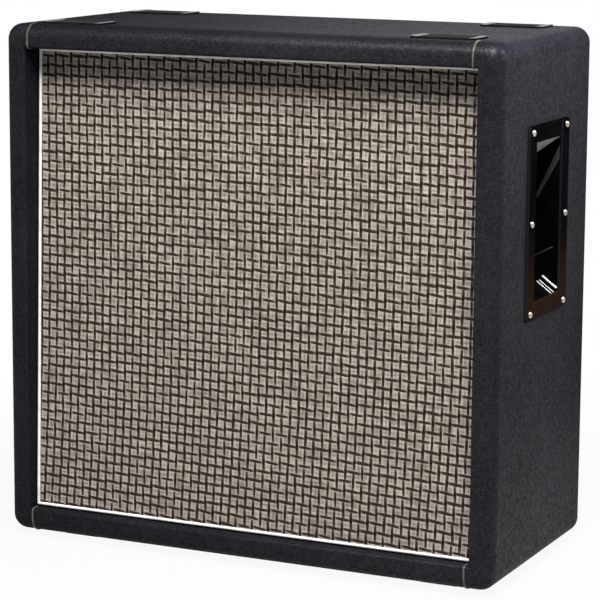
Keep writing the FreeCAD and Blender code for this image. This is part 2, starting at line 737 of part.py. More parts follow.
def bucket_outline(owner, wall):
    depth = f"({HALF} - bucket_depth - {wall})"
    low = f"({grip_low} - {wall})"
    high = f"({grip_high} + {wall})"
    return outline(owner, "XZ_Plane", [
        (HALF, high), (HALF, low), (depth, f"{low} + ramp_rise"), (depth, f"{high} - roof_drop")],
        minus("handle_y"))


bucket = node("right_handle_bucket", body("right_handle_bucket"))
pad(bucket, bucket_outline(bucket, "bucket_wall"), f"{GRIP_WIDTH} + 2 * bucket_wall", midplane=True)
pocket(bucket, bucket_outline(bucket, "0"), GRIP_WIDTH, midplane=True)
node("left_handle_bucket", mirror("left_handle_bucket", bucket, ABOUT_X))

# Stacking trays and feet
tray = body("tray")
tray_end = "(tray_length / 2)"
lip_foot = f"({tray_end} - lip_top - lip_slope)"
tray_sketch = outline(tray, "XZ_Plane", [
    (minus(tray_end), "0"), (tray_end, "0"), (tray_end, "tray_lip"), (f"{tray_end} - lip_top", "tray_lip"),
    (lip_foot, "tray_floor"), (minus(lip_foot), "tray_floor"), (f"lip_top - {tray_end}", "tray_lip"),
    (minus(tray_end), "tray_lip")])
round_edges(tray, pad(tray, tray_sketch, "tray_width", midplane=True), "tray_corner",
            lambda box: box.XLength < NEAR and box.YLength < NEAR)
tray_set = copies("tray_set", tray, [(x, y, TOP) for x, y in tray_places])
node("stacking_trays", cut("stacking_trays", tray_set, tray_screws))
foot = body("foot")
foot_sketch = rectangle(foot, "XY_Plane", both("foot_length / 2"), both("foot_width / 2"))
round_edges(foot, pad(foot, foot_sketch, "foot_height"), "foot_corner",
            lambda box: box.XLength < NEAR and box.YLength < NEAR)
foot_set = copies("foot_set", foot, [(x, y, "0") for x, y in foot_places])
bores = [place(rod("foot_bore", "foot_bore_radius", "foot_counterbore"), f"{x} + {end}foot_screw_x", y, "0")
         for x, y in foot_places for end in ("-", "")]
node("feet", cut("feet", foot_set, group("foot_bores", bores), foot_screws))

# Jack plate and jack
jack_z = (f"{JACK_Z} - jack_plate_height / 2", f"{JACK_Z} + jack_plate_height / 2")
plate_y = (PANEL_OUT, f"{PANEL_OUT} + jack_plate")
plate_blank = block("jack_plate_blank", both("jack_plate_width / 2"), plate_y, jack_z)
screw_x = both("(jack_plate_width / 2 - jack_screw_inset)")
screw_z = (f"{jack_z[0]} + jack_screw_inset", f"{jack_z[1]} - jack_screw_inset")
jack_spots = [(x, plate_y[1], z, TO_FRONT_X, "90") for x in screw_x for z in screw_z]
jack_screws = node("jack_plate_screws", copies("jack_plate_screws", small_screw, jack_spots))


def along_y(name, radius, start, length):
    return place(rod(name, radius, length), "0", start, JACK_Z, TO_FRONT_X, "90")


bush_length = "(jack_plate + jack_washer + jack_nut + jack_bush_proud)"
bush_end = f"({PANEL_OUT} + {bush_length})"
bush_hole = along_y("bush_hole", "jack_bush_radius + jack_clearance", f"{PANEL_OUT} - cut_overrun",
                    f"{bush_length} + 2 * cut_overrun")
node("jack_plate", cut("jack_plate", plate_blank, bush_hole, jack_screws))
jack_block = block("jack_block", both("jack_body / 2"), (f"{PANEL_OUT} - jack_body_depth", PANEL_OUT),
                   (f"{JACK_Z} - jack_body / 2", f"{JACK_Z} + jack_body / 2"))
jack_bush = along_y("jack_bush", "jack_bush_radius", f"{PANEL_OUT} - jack_body_depth / 2",
                    f"{bush_length} + jack_body_depth / 2")
jack_bore = along_y("jack_bore", "jack_bore_radius", f"{bush_end} - jack_bore_depth",
                    "jack_bore_depth + cut_overrun")
node("input_jack", cut("input_jack", fuse("jack_form", [jack_block, jack_bush]), jack_bore))
washer_disc = along_y("washer_disc", "jack_washer_radius", plate_y[1], "jack_washer")
node("jack_washer", cut("jack_washer", washer_disc, bush_hole))
nut_prism = doc.addObject("Part::Prism", "nut_prism")
nut_prism.Polygon = 6
bind(nut_prism, "Circumradius", "jack_nut_flats / sqrt(3)")
bind(nut_prism, "Height", "jack_nut")
place(nut_prism, "0", f"{plate_y[1]} + jack_washer", JACK_Z, TO_FRONT_X, "90")
node("jack_nut", cut("jack_nut", nut_prism, bush_hole))

# Back panel with the jack's hatch
back_half = f"({INNER} - vinyl - back_gap)"
back_blank = block("back_blank", both(back_half), (PANEL_IN, PANEL_OUT),
                   (f"{FLOOR} + vinyl + back_gap", f"{CEILING} - vinyl - back_gap"))
jack_hatch = block("jack_hatch", both("jack_hatch_width / 2"),
                   (f"{PANEL_IN} - cut_overrun", f"{PANEL_OUT} + cut_overrun"),
                   (f"{JACK_Z} - jack_hatch_height / 2", f"{JACK_Z} + jack_hatch_height / 2"))
node("back_panel", cut("back_panel", back_blank, jack_hatch, back_panel_screws, jack_screws))


# Drivers, turned about their axis, with heights counted back from the baffle's rear face
def waved_ring(name, inner, flat_from, outer, level, sheet_thick, wave, count):
    """A thin ring with a flat rim and concentric waves that rise to the front."""
    steps = 2 * count
    front = []
    for step in range(steps + 1):
        radius = f"({flat_from} + ({inner} - ({flat_from})) * {step / steps})"
        front.append((radius, f"({level} - {wave})" if step % 2 else level))
    rear = [(radius, f"({height} + {sheet_thick})") for radius, height in reversed(front)]
    return turned(name, [(outer, level), *front, *rear, (outer, f"({level} + {sheet_thick})")])


def basket(name):
    """Pressed basket: flange, slanting wall with windows, spider step and rear cup."""
    owner = turned(name, [
        ("basket_mouth", FLANGE), ("basket_radius", FLANGE), ("basket_radius", FLANGE_REAR),
        ("basket_mouth + basket_steel", FLANGE_REAR), ("spider_seat_radius + basket_steel", STEP_REAR),
        ("cup_radius + basket_steel", STEP_REAR), ("cup_radius + basket_steel", CUP_REAR),
        ("cup_bore_radius", CUP_REAR), ("cup_bore_radius", "cup_depth"), ("cup_radius", "cup_depth"),
        ("cup_radius", "spider_seat_depth"), ("spider_seat_radius", "spider_seat_depth")])
    window = pocket(owner, outline(owner, "XY_Plane", [
        ("window_inner", minus("window_inner_half")), ("window_outer", minus("window_outer_half")),
        ("window_outer", "window_outer_half"), ("window_inner", "window_inner_half")]),
        CUP_REAR, backwards=True)
    doc.recompute()
    pattern = owner.newObject("PartDesign::PolarPattern", f"{name}_windows")
    pattern.Originals = [window]
    pattern.Axis = (window.Profile[0], ["N_Axis"])
    pattern.Angle = 360
    pattern.Occurrences = BASKET_WINDOWS
    owner.Tip = pattern
    return owner


edge_level = "(gasket - edge_paper)"
neck = f"({COIL_OUT} + glue_line)"
cap_share = f"((cap_radius - {neck}) / (cone_radius - {neck}))"
cap_seat = f"(cone_neck_depth + ({edge_level} - cone_neck_depth) * {cap_share} - glue_line)"
cap_inner = "(cap_radius - cap_paper)"
cap_rise = "(cap_height - cap_paper)"


def dome_radius(span, rise):
    return f"(({span} * {span} + {rise} * {rise}) / (2 * {rise}))"


def ring(name, inner, outer, low, high):
    return turned(name, [(inner, low), (outer, low), (outer, high), (inner, high)])


def driver(number_from_left, x, z):
    """One driver: its pieces by name, all set on the leaning baffle."""
    mark = f"_{number_from_left}"
    outer_dome = dome_radius("cap_radius", "cap_height")
    inner_dome = dome_radius(cap_inner, cap_rise)
    pieces = {
        "gasket_ring": ring(f"gasket_ring{mark}", "cutout_radius + gasket_lip", "basket_radius", "0", "gasket"),
        "basket": basket(f"basket{mark}"),
        "edge": waved_ring(f"edge{mark}", "cone_radius + moving_gap", "basket_mouth",
                           "cutout_radius + gasket_lip - moving_gap", edge_level, "edge_paper", "edge_wave",
                           EDGE_WAVES),
        "spider": waved_ring(f"spider{mark}", f"{COIL_OUT} + moving_gap", "cup_radius",
                             "spider_seat_radius - glue_line", "spider_seat_depth - spider_cloth",
                             "spider_cloth", "spider_wave", SPIDER_WAVES),
        "cone": turned(f"cone{mark}", [
            (neck, "cone_neck_depth"), ("cone_radius", edge_level), ("cone_radius", f"{edge_level} + cone_paper"),
            (neck, "cone_neck_depth + cone_paper")]),
        "dust_cap": turned(f"dust_cap{mark}", [
            ("0", f"{cap_seat} - cap_height"), ("cap_radius", cap_seat), (cap_inner, cap_seat),
            ("0", f"{cap_seat} - {cap_rise}")],
            arcs={0: (outer_dome, "0", f"{cap_seat} - cap_height + {outer_dome}"),
                  2: (inner_dome, "0", f"{cap_seat} - {cap_rise} + {inner_dome}")}),
        "voice_coil": turned(f"voice_coil{mark}", [
            ("coil_radius", "coil_front"), (COIL_OUT, "coil_front"), (COIL_OUT, "winding_front"),
            (WINDING_OUT, "winding_front"), (WINDING_OUT, "winding_rear"), (COIL_OUT, "winding_rear"),
            (COIL_OUT, "coil_rear"), ("coil_radius", "coil_rear")]),
        "top_plate": ring(f"top_plate{mark}", f"{WINDING_OUT} + air_gap", "top_plate_radius", CUP_REAR,
                          MAGNET_FRONT),
        "magnet": ring(f"magnet{mark}", "magnet_bore_radius", "magnet_radius", MAGNET_FRONT, MAGNET_REAR),
        "yoke": turned(f"yoke{mark}", [
            ("vent_radius", CUP_REAR), ("coil_radius - air_gap", CUP_REAR), ("coil_radius - air_gap", MAGNET_REAR),
            ("yoke_radius", MAGNET_REAR), ("yoke_radius", YOKE_REAR), ("vent_radius", YOKE_REAR)]),
    }
    for piece in pieces.values():
        place(piece, *leaning(x, BAFFLE_REAR, z), TO_FRONT_X, "90 + grille_tilt")
    return pieces


drivers = [driver(i, x, z) for i, (x, z) in enumerate(centres, start=1)]
for i, pieces in enumerate(drivers, start=1):
    frame = f"speaker_frame_{i}"
    node(frame, cut(frame, pieces["basket"], speaker_bolts))
    node(f"speaker_cone_{i}", pieces["cone"])
    node(f"dust_cap_{i}", pieces["dust_cap"])
    node(f"voice_coil_{i}", pieces["voice_coil"])
for label, kind in (("cone_edges", "edge"), ("spiders", "spider"), ("top_plates", "top_plate"),
                    ("magnets", "magnet"), ("pole_yokes", "yoke")):
    node(label, group(label, [pieces[kind] for pieces in drivers]))
gasket_set = group("gasket_set", [pieces["gasket_ring"] for pieces in drivers])
node("speaker_gaskets", cut("speaker_gaskets", gasket_set, speaker_bolts))

# Terminal strips on the baskets' spider steps, pointing at the cabinet's middle
strip_y = (f"{BAFFLE_REAR} + {STEP_REAR}", f"{BAFFLE_REAR} + {STEP_REAR} + strip")
strips = []
for x, z in centres:
    out = f"(speaker_x - {STRIP_IN} - strip_length)"
    back = f"(speaker_x - {STRIP_IN})"
    span = (minus(back), minus(out)) if x.startswith("-") else (out, back)
    strips.append(block("strip", span, strip_y, (f"{z} - strip_width / 2", f"{z} + strip_width / 2"), leans=True))
node("terminal_strips", group("terminal_strips", strips))


# Wires from the strips to the jack, as straight runs joined by tangent arcs
def point(x, y, z):
    return FreeCAD.Vector(number(x), number(y), number(z))


def wire_path(route):
    edges = []
    start = route[0]
    for before, corner, after in zip(route, route[1:], route[2:]):
        inward = (before - corner).normalize()
        outward = (after - corner).normalize()
        reach = BEND_SHARE * min(before.distanceToPoint(corner), after.distanceToPoint(corner))
        half_turn = (math.pi - inward.getAngle(outward)) / 2
        radius = reach / math.tan(half_turn)
        first = corner + inward * reach
        last = corner + outward * reach
        middle_way = (inward + outward).normalize()
        middle = corner + middle_way * (radius / math.cos(half_turn) - radius)
        edges.append(Part.LineSegment(start, first).toShape())
        edges.append(Part.Arc(first, middle, last).toShape())
        print(f"wire bend radius {radius:.1f}")
        start = last
    edges.append(Part.LineSegment(start, route[-1]).toShape())
    return Part.Wire(edges)


def wire(x, z):
    left = x.startswith("-")
    low = z.startswith("-")
    start_x = f"(speaker_x - {STRIP_IN} - strip_length + wire_inset)"
    start = point(*leaning(minus(start_x) if left else start_x, strip_y[1], z))
    end = point(minus("wire_spread") if left else "wire_spread", f"{PANEL_OUT} - jack_body_depth",
                f"{JACK_Z} - wire_spread" if low else f"{JACK_Z} + wire_spread")
    lead = FreeCAD.Vector(0, number("wire_lead"), 0)
    path = wire_path([start, start + lead, end - lead, end])
    section = Part.Wire(Part.makeCircle(number("wire_radius"), start, lead))
    tube = path.makePipeShell([section], True, False)
    expected = math.pi * number("wire_radius") ** 2 * path.Length
    print(f"wire volume {tube.Volume:.1f}, section times length {expected:.1f}")
    return tube


wires = doc.addObject("Part::Feature", "speaker_wires")
wires.Shape = Part.makeCompound([wire(x, z) for x, z in centres])
wires.Placement = FreeCAD.Placement()
node("speaker_wires", wires)

# Every object must have computed, and every sub-part must be sound, before anything is written
doc.recompute()
failed = [obj.Name for obj in doc.Objects if "Invalid" in obj.State or "Error" in obj.State]
unsound = [obj.Label for obj in nodes if obj.Shape.isNull() or not obj.Shape.isValid()]
if failed or unsound:
    raise RuntimeError(f"failed: {failed}, unsound: {unsound}")
os.makedirs("parts", exist_ok=True)
for obj in nodes:
    obj.Shape.exportStep(f"parts/{obj.Label}.step")
print(f"{len(nodes)} nodes, {sum(len(obj.Shape.Solids) for obj in nodes)} solids")
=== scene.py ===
# Guitar speaker cabinet: black grained vinyl, a leaning woven grille in white piping, recessed side handles
import math

import bmesh
import bpy
from mathutils import Matrix, Vector


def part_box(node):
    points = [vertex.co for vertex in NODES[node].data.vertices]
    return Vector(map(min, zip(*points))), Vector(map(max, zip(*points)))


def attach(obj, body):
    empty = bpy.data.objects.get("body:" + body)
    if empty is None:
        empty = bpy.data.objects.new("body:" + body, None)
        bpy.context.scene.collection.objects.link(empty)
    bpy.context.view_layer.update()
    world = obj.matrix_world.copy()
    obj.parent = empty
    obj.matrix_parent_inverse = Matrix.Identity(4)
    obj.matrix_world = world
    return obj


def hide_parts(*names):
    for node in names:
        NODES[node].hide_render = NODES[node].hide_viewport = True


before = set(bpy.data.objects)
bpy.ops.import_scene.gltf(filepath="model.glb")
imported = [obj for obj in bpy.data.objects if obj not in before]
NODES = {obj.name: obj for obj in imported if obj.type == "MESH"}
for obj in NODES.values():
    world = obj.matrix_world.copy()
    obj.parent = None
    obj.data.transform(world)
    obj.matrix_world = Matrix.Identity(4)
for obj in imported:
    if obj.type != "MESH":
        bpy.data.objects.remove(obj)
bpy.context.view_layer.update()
MM = 0.001
CABINET = "cabinet"

# Layout of the grille: a leaning face, and a slightly bowed lattice of dark threads on it
GRILLE_TILT = math.radians(1.7)
CLOTH_DEPTH = 10.2 * MM
cloth_low, cloth_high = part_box("grille_cloth")
cloth_x = cloth_high.x
cloth_z = (cloth_high.z - cloth_low.z - CLOTH_DEPTH * math.sin(GRILLE_TILT)) / (2.0 * math.cos(GRILLE_TILT))
GRILLE_CENTRE = Vector((
    0.0, cloth_low.y + cloth_z * math.sin(GRILLE_TILT), cloth_high.z - cloth_z * math.cos(GRILLE_TILT)))
LEAN = Matrix.Translation(GRILLE_CENTRE) @ Matrix.Rotation(-GRILLE_TILT, 4, "X")
COLUMN_PITCH = 12.817 * MM
ROW_PITCH = 13.727 * MM
COLUMN_BOW_SHARES = (2.645 * MM, -0.0037, -0.0569, 0.0753)
ROW_BOW_SHARES = (-1.9 * MM, 0.0, 0.0083, 0.0863)
ROW_DIP_SHARES = (0.0, 0.00286, -0.0096)
ROW_TWIST_SHARE = -0.0049
FLOAT_RUN = "run"

# Layout of the covering, the handles and the trays
shell_low, shell_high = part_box("vinyl_covering")
EDGE_ROUND = 20.0 * MM
plate_low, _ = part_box("right_handle_plate")
bucket_low, bucket_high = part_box("right_handle_bucket")
BUCKET_WALL = 2.0 * MM
BUCKET_DEPTH = 60.0 * MM
RAMP_RISE = 44.0 * MM
GRIP_MOUTH = bucket_high.x
GRIP_FRONT = bucket_low.y + BUCKET_WALL
GRIP_REAR = bucket_high.y - BUCKET_WALL
GRIP_LOW = bucket_low.z + BUCKET_WALL
GRIP_HIGH = bucket_high.z - BUCKET_WALL
tray_low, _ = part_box("stacking_trays")
TRAY_FLOOR = 2.5 * MM

# Where painted light falls on the handle plate, a painted reflection and painted highlights, and on the
# trays' raised ends, painted highlights
PLATE_REFLECTION_REACH = 135.0 * MM
PLATE_EDGE_HIGHLIGHT = (1.5 * MM, 7.0 * MM)
GRIP_EDGE_HIGHLIGHT = (0.5 * MM, 4.0 * MM)
TRAY_LIP_HIGHLIGHT = (0.08 * MM, 0.3 * MM)


# Node wiring
class Signal:
    """An output socket that takes part in sums like a number."""

    def __init__(self, net, socket):
        self.net = net
        self.socket = socket

    def out(self, name):
        return Signal(self.net, self.socket.node.outputs[name])

    def math(self, operation, *others):
        inputs = dict(enumerate((self, *others)))
        return self.net.add("ShaderNodeMath", {"operation": operation}, inputs)

    def reflected(self, operation, other):
        return self.net.add("ShaderNodeMath", {"operation": operation}, {0: other, 1: self})

    def __add__(self, other):
        return self.math("ADD", other)

    def __radd__(self, other):
        return self.reflected("ADD", other)

    def __sub__(self, other):
        return self.math("SUBTRACT", other)

    def __rsub__(self, other):
        return self.reflected("SUBTRACT", other)

    def __mul__(self, other):
        return self.math("MULTIPLY", other)

    def __rmul__(self, other):
        return self.reflected("MULTIPLY", other)

    def __truediv__(self, other):
        return self.math("DIVIDE", other)

    def __rtruediv__(self, other):
        return self.reflected("DIVIDE", other)

    def __neg__(self):
        return self.math("MULTIPLY", -1.0)


class Net:
    """A node tree; add() makes a node from its type, its settings and what its sockets get."""

    def __init__(self, tree):
        self.tree = tree

    def add(self, kind, settings=None, inputs=None, output=0):
        node = self.tree.nodes.new(kind)
        for key, value in (settings or {}).items():
            setattr(node, key, value)
        for key, value in (inputs or {}).items():
            if isinstance(value, Signal):
                self.tree.links.new(value.socket, node.inputs[key])
            else:
                node.inputs[key].default_value = value
        return Signal(self, node.outputs[output]) if len(node.outputs) else node

    def axes(self, place):
        """The X, Y and Z of a vector."""
        split = self.add("ShaderNodeSeparateXYZ", inputs={0: place})
        return split, split.out("Y"), split.out("Z")

    def vector(self, x, y, z):
        return self.add("ShaderNodeCombineXYZ", inputs={0: x, 1: y, 2: z})

    def ramp(self, value, low, high, to_low=0.0, to_high=1.0):
        inputs = {0: value, 1: low, 2: high, 3: to_low, 4: to_high}
        return self.add("ShaderNodeMapRange", {"interpolation_type": "SMOOTHSTEP"}, inputs)


class Finish(Net):
    """A procedural material measured in the cabinet's own metres."""

    def __init__(self, name):
        self.material = bpy.data.materials.new(name)
        self.material.use_nodes = True
        super().__init__(self.material.node_tree)
        self.tree.nodes.clear()
        self.place = self.add("ShaderNodeTexCoord", output="Object")

    def noise(self, scale, detail=3.0, at=None, output=0):
        inputs = {"Vector": at or self.place, "Scale": scale, "Detail": detail}
        return self.add("ShaderNodeTexNoise", inputs=inputs, output=output)

    def cells(self, scale, at):
        """The distance to the edge between two cells."""
        inputs = {"Vector": at, "Scale": scale}
        return self.add("ShaderNodeTexVoronoi", {"feature": "DISTANCE_TO_EDGE"}, inputs, "Distance")

    def vectors(self, operation, first, second):
        return self.add("ShaderNodeVectorMath", {"operation": operation}, {0: first, 1: second})

    def stretched(self, factors):
        return self.vectors("MULTIPLY", self.place, factors)

    def shaken(self, scale, reach):
        """The place, pushed about by a noise."""
        wander = self.noise(scale, 2.0, output="Color")
        centred = self.vectors("SUBTRACT", wander, (0.5, 0.5, 0.5))
        return self.vectors("ADD", self.place, self.vectors("MULTIPLY", centred, (reach,) * 3))

    def blend(self, share, first, second):
        colours = {0: share}
        for key, colour in ((6, first), (7, second)):
            colours[key] = colour if isinstance(colour, Signal) else (*colour, 1.0)
        return self.add("ShaderNodeMix", {"data_type": "RGBA"}, colours, 2)

    def relief(self, height, depth, strength):
        inputs = {"Height": height, "Distance": depth, "Strength": strength}
        return self.add("ShaderNodeBump", inputs=inputs, output="Normal")

    def surface(self, colour, roughness, normal, **others):
        inputs = {"Base Color": colour, "Roughness": roughness, "Normal": normal}
        inputs.update({key.replace("_", " "): value for key, value in others.items()})
        shader = self.add("ShaderNodeBsdfPrincipled", inputs=inputs)
        self.add("ShaderNodeOutputMaterial", inputs={"Surface": shader})
        return self.material


# Drift of the lattice, for the ground's colour and for the threads alike
def bowed_by(value, shares):
    """A polynomial of a value, its shares given from the constant one up."""
    total = shares[-1]
    for share in shares[-2::-1]:
        total = total * value + share
    return total


def lattice_drift(x, rise):
    """How far the stretched cloth carries a crossing of the check from its place on a true lattice."""
    across = bowed_by(rise, COLUMN_BOW_SHARES)
    up = bowed_by(rise, ROW_BOW_SHARES) + bowed_by(x, ROW_DIP_SHARES) + ROW_TWIST_SHARE * x * rise
    return across, up


# Finishes
def polish_and_painted_sheen(f):
    """How far handling has polished the covering, or left it dull, against its usual sheen, with painted
    sheen and shade added.

    The upper front rounding is polished by handling, most at its corners. Where the top turns over, the
    sheen is lowered as painted shade. The right gets more sheen than the left as painted sheen, and the
    sides more at the foot than farther up or to the rear, as painted sheen and shade.
    """
    x, y, z = f.axes(f.place)
    from_front = (y - shell_low.y) / EDGE_ROUND
    from_top = (shell_high.z - z) / EDGE_ROUND
    from_side = (shell_high.x - x.math("ABSOLUTE")) / EDGE_ROUND
    rise = (z - shell_low.z) / (shell_high.z - shell_low.z)
    rounding = f.ramp(from_top, 0.6, 2.0, 1.0, 0.0) * f.ramp(from_front, 0.0, 0.7, 1.0, 0.0)
    corner = f.ramp(from_side, 0.5, 1.2, 2.2, 1.0)
    # Painted sheen and shade: less sheen where the top turns over, more to the right, and on the sides more
    # at the foot than higher up or to the rear.
    turning = f.ramp(from_front, 0.25, 0.6) * f.ramp(from_front, 1.5, 2.3, 1.0, 0.0)
    painted_crest_shade = turning * f.ramp(from_top, 0.4, 0.7, 1.0, 0.0)
    painted_right_sheen = f.ramp(x, shell_low.x, shell_high.x, -0.1, 0.5)
    flank = f.ramp(from_side, 0.1, 0.3, 1.0, 0.0)
    upright = f.ramp(rise, 0.0, 0.38, 0.5, -0.4) + f.ramp(rise, 0.58, 1.0, 0.0, 0.2)
    painted_rear_shade = f.ramp(y, 0.0, shell_high.y, 0.0, -0.35)
    share = 0.62 * rounding * corner + painted_right_sheen - 0.85 * painted_crest_shade + flank * (upright + painted_rear_shade)
    return share.math("MAXIMUM", -1.0)


def vinyl_finish(name, crease, crown):
    """Black covering cloth with a levant grain: pebbles with creases between them, and a soft rub."""
    f = Finish(name)
    place = f.shaken(240.0, 1.6 * MM)
    pebbles = f.ramp(f.cells(330.0, place), 0.0, 0.32)
    grains = f.ramp(f.cells(900.0, place), 0.0, 0.4)
    mottle = f.noise(9.0, 4.0)
    rub = f.noise(160.0, 3.0)
    height = pebbles * 0.7 + grains * 0.3
    tone = f.blend(height, crease, crown)
    colour = f.blend(f.ramp(mottle, 0.35, 0.7) * 0.22, tone, [1.35 * c for c in crown])
    roughness = 0.55 - 0.1 * height + 0.16 * (mottle - 0.5) + 0.12 * (rub - 0.5)
    # The sheen carries the painted sheen and shade of the polish term.
    sheen = (0.11 + 0.22 * height) * f.ramp(rub, 0.3, 0.7, 0.68, 1.32) * (1.0 + polish_and_painted_sheen(f))
    return f.surface(colour, roughness, f.relief(height, 0.4 * MM, 0.9), Coat_Weight=sheen,
                     Coat_Roughness=0.46, Specular_IOR_Level=0.0)


def grille_ground_finish():
    """Beige ground of the grille cloth: two soft threads each way between the dark ones."""
    f = Finish("grille_ground")
    x, _, z = f.axes(f.shaken(90.0, 0.6 * MM))
    rise = (z - GRILLE_CENTRE.z) / math.cos(GRILLE_TILT)
    across, up = lattice_drift(x, rise)
    turn = 2.0 * math.pi
    column = turn * (x - across) / COLUMN_PITCH
    row = turn * (rise - up) / ROW_PITCH
    seam_x = f.ramp(-column.math("COSINE"), 0.72, 1.0)
    seam_z = f.ramp(-row.math("COSINE"), 0.72, 1.0)
    strands = (9.0 * column).math("SINE") * (9.0 * row).math("SINE")
    fibre = f.noise(1500.0, 3.0)
    upright_slubs = f.noise(330.0, 2.0, f.stretched((1.0, 1.0, 0.1)))
    level_slubs = f.noise(330.0, 2.0, f.stretched((0.1, 1.0, 1.0)))
    slubs = upright_slubs + level_slubs
    patch = f.noise(34.0, 3.0)
    gaps = 0.12 * (seam_x + seam_z) + 0.22 * seam_x * seam_z
    height = 0.56 - gaps + 0.1 * strands + 0.25 * (fibre - 0.5) + 1.1 * (slubs - 1.0)
    ground = f.blend(f.ramp(height, 0.1, 0.9), (0.15, 0.1255, 0.105), (0.41, 0.357, 0.313))
    colour = f.blend(0.25 * f.ramp(patch, 0.3, 0.75), ground, (0.31, 0.266, 0.231))
    return f.surface(colour, 0.82 + 0.12 * (fibre - 0.5), f.relief(height, 0.3 * MM, 0.6),
                     Specular_IOR_Level=0.2, Sheen_Weight=0.12)


def dark_thread_finish():
    """Dark brown chenille of the check: short fibres, no shine, paler where a float dives under."""
    f = Finish("dark_thread")
    fibre = f.noise(1900.0, 3.0)
    twist = f.noise(420.0, 2.0)
    strength = f.noise(62.0, 2.0)
    run = f.add("ShaderNodeAttribute", {"attribute_name": FLOAT_RUN}, output="Fac")
    tone = f.blend(0.6 * fibre + 0.4 * twist, (0.004, 0.0025, 0.0015), (0.022, 0.015, 0.01))
    between = f.ramp(run, 0.01, 0.12, 0.0, 0.12)
    pale = between + f.ramp(run + 0.8 * (strength - 0.5), 0.3, 1.1, 0.0, 0.48)
    colour = f.blend(pale, tone, (0.15, 0.123, 0.1))
    return f.surface(colour, 0.85 + 0.1 * (fibre - 0.5), f.relief(fibre, 0.25 * MM, 0.7),
                     Specular_IOR_Level=0.02)


def piping_finish(name, shade, light):
    """Extruded piping: smooth, with faint dirt and a soft shine."""
    f = Finish(name)
    dirt = f.noise(70.0, 4.0)
    speck = f.noise(900.0, 2.0)
    colour = f.blend(f.ramp(dirt, 0.25, 0.62), shade, light)
    return f.surface(colour, 0.38 + 0.2 * (dirt - 0.5), f.relief(speck, 0.05 * MM, 0.4),
                     Specular_IOR_Level=0.4)


def scuffs(f):
    """Fine scuffs along a moulding, and their relief."""
    scuff = f.noise(260.0, 3.0, f.stretched((1.0, 0.12, 1.0)))
    return scuff, f.relief(scuff, 0.03 * MM, 0.35)


def moulding_finish(name, deep, face, roughness, shine):
    """Moulded black plastic with fine scuffs along its length."""
    f = Finish(name)
    scuff, relief = scuffs(f)
    cloud = f.noise(26.0, 3.0)
    colour = f.blend(f.ramp(cloud, 0.3, 0.7), deep, face)
    return f.surface(colour, roughness + 0.14 * (scuff - 0.5) + 0.1 * (cloud - 0.5), relief,
                     Coat_Weight=shine + 0.1 * shine * (cloud - 0.5), Coat_Roughness=0.12,
                     Specular_IOR_Level=0.0)


def handle_plate_finish():
    """Black handle plate, with a painted warm reflection towards its foot and painted highlights along its
    front edge and next to the grip.
    """
    f = Finish("handle_plate")
    _, y, z = f.axes(f.place)
    scuff, relief = scuffs(f)
    cloud = f.noise(26.0, 3.0)
    black = f.blend(f.ramp(cloud, 0.3, 0.7), (0.0014, 0.0013, 0.0015), (0.0028, 0.0026, 0.0028))
    # Painted reflection: the plate goes browner towards its foot.
    foot = f.ramp(z - plate_low.z, 0.0, PLATE_REFLECTION_REACH, 1.0, 0.0)
    brown = f.blend(foot * (0.85 + 0.3 * (cloud - 0.5)), black, (0.021, 0.0105, 0.0062))
    # Painted highlights: paler along the front edge and next to the grip's rear edge.
    front = f.ramp(y - plate_low.y, *PLATE_EDGE_HIGHLIGHT, 1.0, 0.0)
    painted_grip_edge_highlight = f.ramp((y - GRIP_REAR).math("ABSOLUTE"), *GRIP_EDGE_HIGHLIGHT, 1.0, 0.0)
    painted_highlight = f.blend(0.6 * painted_grip_edge_highlight, brown, (0.012, 0.0115, 0.0115))
    colour = f.blend(0.8 * front, painted_highlight, (0.0115, 0.0108, 0.0108))
    return f.surface(colour, 0.34 + 0.14 * (scuff - 0.5) + 0.1 * (cloud - 0.5), relief,
                     Coat_Weight=0.004 + 0.003 * cloud, Coat_Roughness=0.14, Specular_IOR_Level=0.0)


def tray_finish():
    """Moulded black tray whose raised ends are painted grey in patches, a painted highlight."""
    f = Finish("tray_plastic")
    _, _, z = f.axes(f.place)
    scuff, relief = scuffs(f)
    cloud = f.noise(60.0, 3.0)
    black = f.blend(f.ramp(cloud, 0.3, 0.7), (0.003, 0.003, 0.0033), (0.007, 0.007, 0.0075))
    # Painted highlight: everything above the tray's floor goes grey, in patches from a noise.
    mottle = f.ramp(cloud + 0.5 * (scuff - 0.5), 0.25, 0.6, 0.5, 1.0)
    painted_highlight = f.ramp(z - (tray_low.z + TRAY_FLOOR), *TRAY_LIP_HIGHLIGHT) * mottle
    colour = f.blend(painted_highlight, black, (0.14, 0.135, 0.135))
    return f.surface(colour, 0.4 + 0.14 * (scuff - 0.5), relief, Coat_Weight=0.16 + 0.06 * (cloud - 0.5),
                     Coat_Roughness=0.16, Specular_IOR_Level=0.0)


def metal_finish(name, shade, light, roughness):
    """Plated or bare metal with turned marks and a little tarnish."""
    f = Finish(name)
    mark = f.noise(1600.0, 2.0, f.stretched((1.0, 1.0, 0.2)))
    tarnish = f.noise(170.0, 4.0)
    colour = f.blend(f.ramp(tarnish, 0.3, 0.7), shade, light)
    return f.surface(colour, roughness + 0.16 * (mark - 0.5) + 0.12 * (tarnish - 0.5),
                     f.relief(mark, 0.02 * MM, 0.4), Metallic=1.0)


def paint_finish(name, shade, light, roughness):
    """Sprayed paint with a fine orange peel."""
    f = Finish(name)
    peel = f.noise(700.0, 2.0)
    cloud = f.noise(30.0, 3.0)
    colour = f.blend(f.ramp(cloud, 0.3, 0.7), shade, light)
    return f.surface(colour, roughness + 0.1 * (cloud - 0.5), f.relief(peel, 0.06 * MM, 0.5),
                     Specular_IOR_Level=0.45)


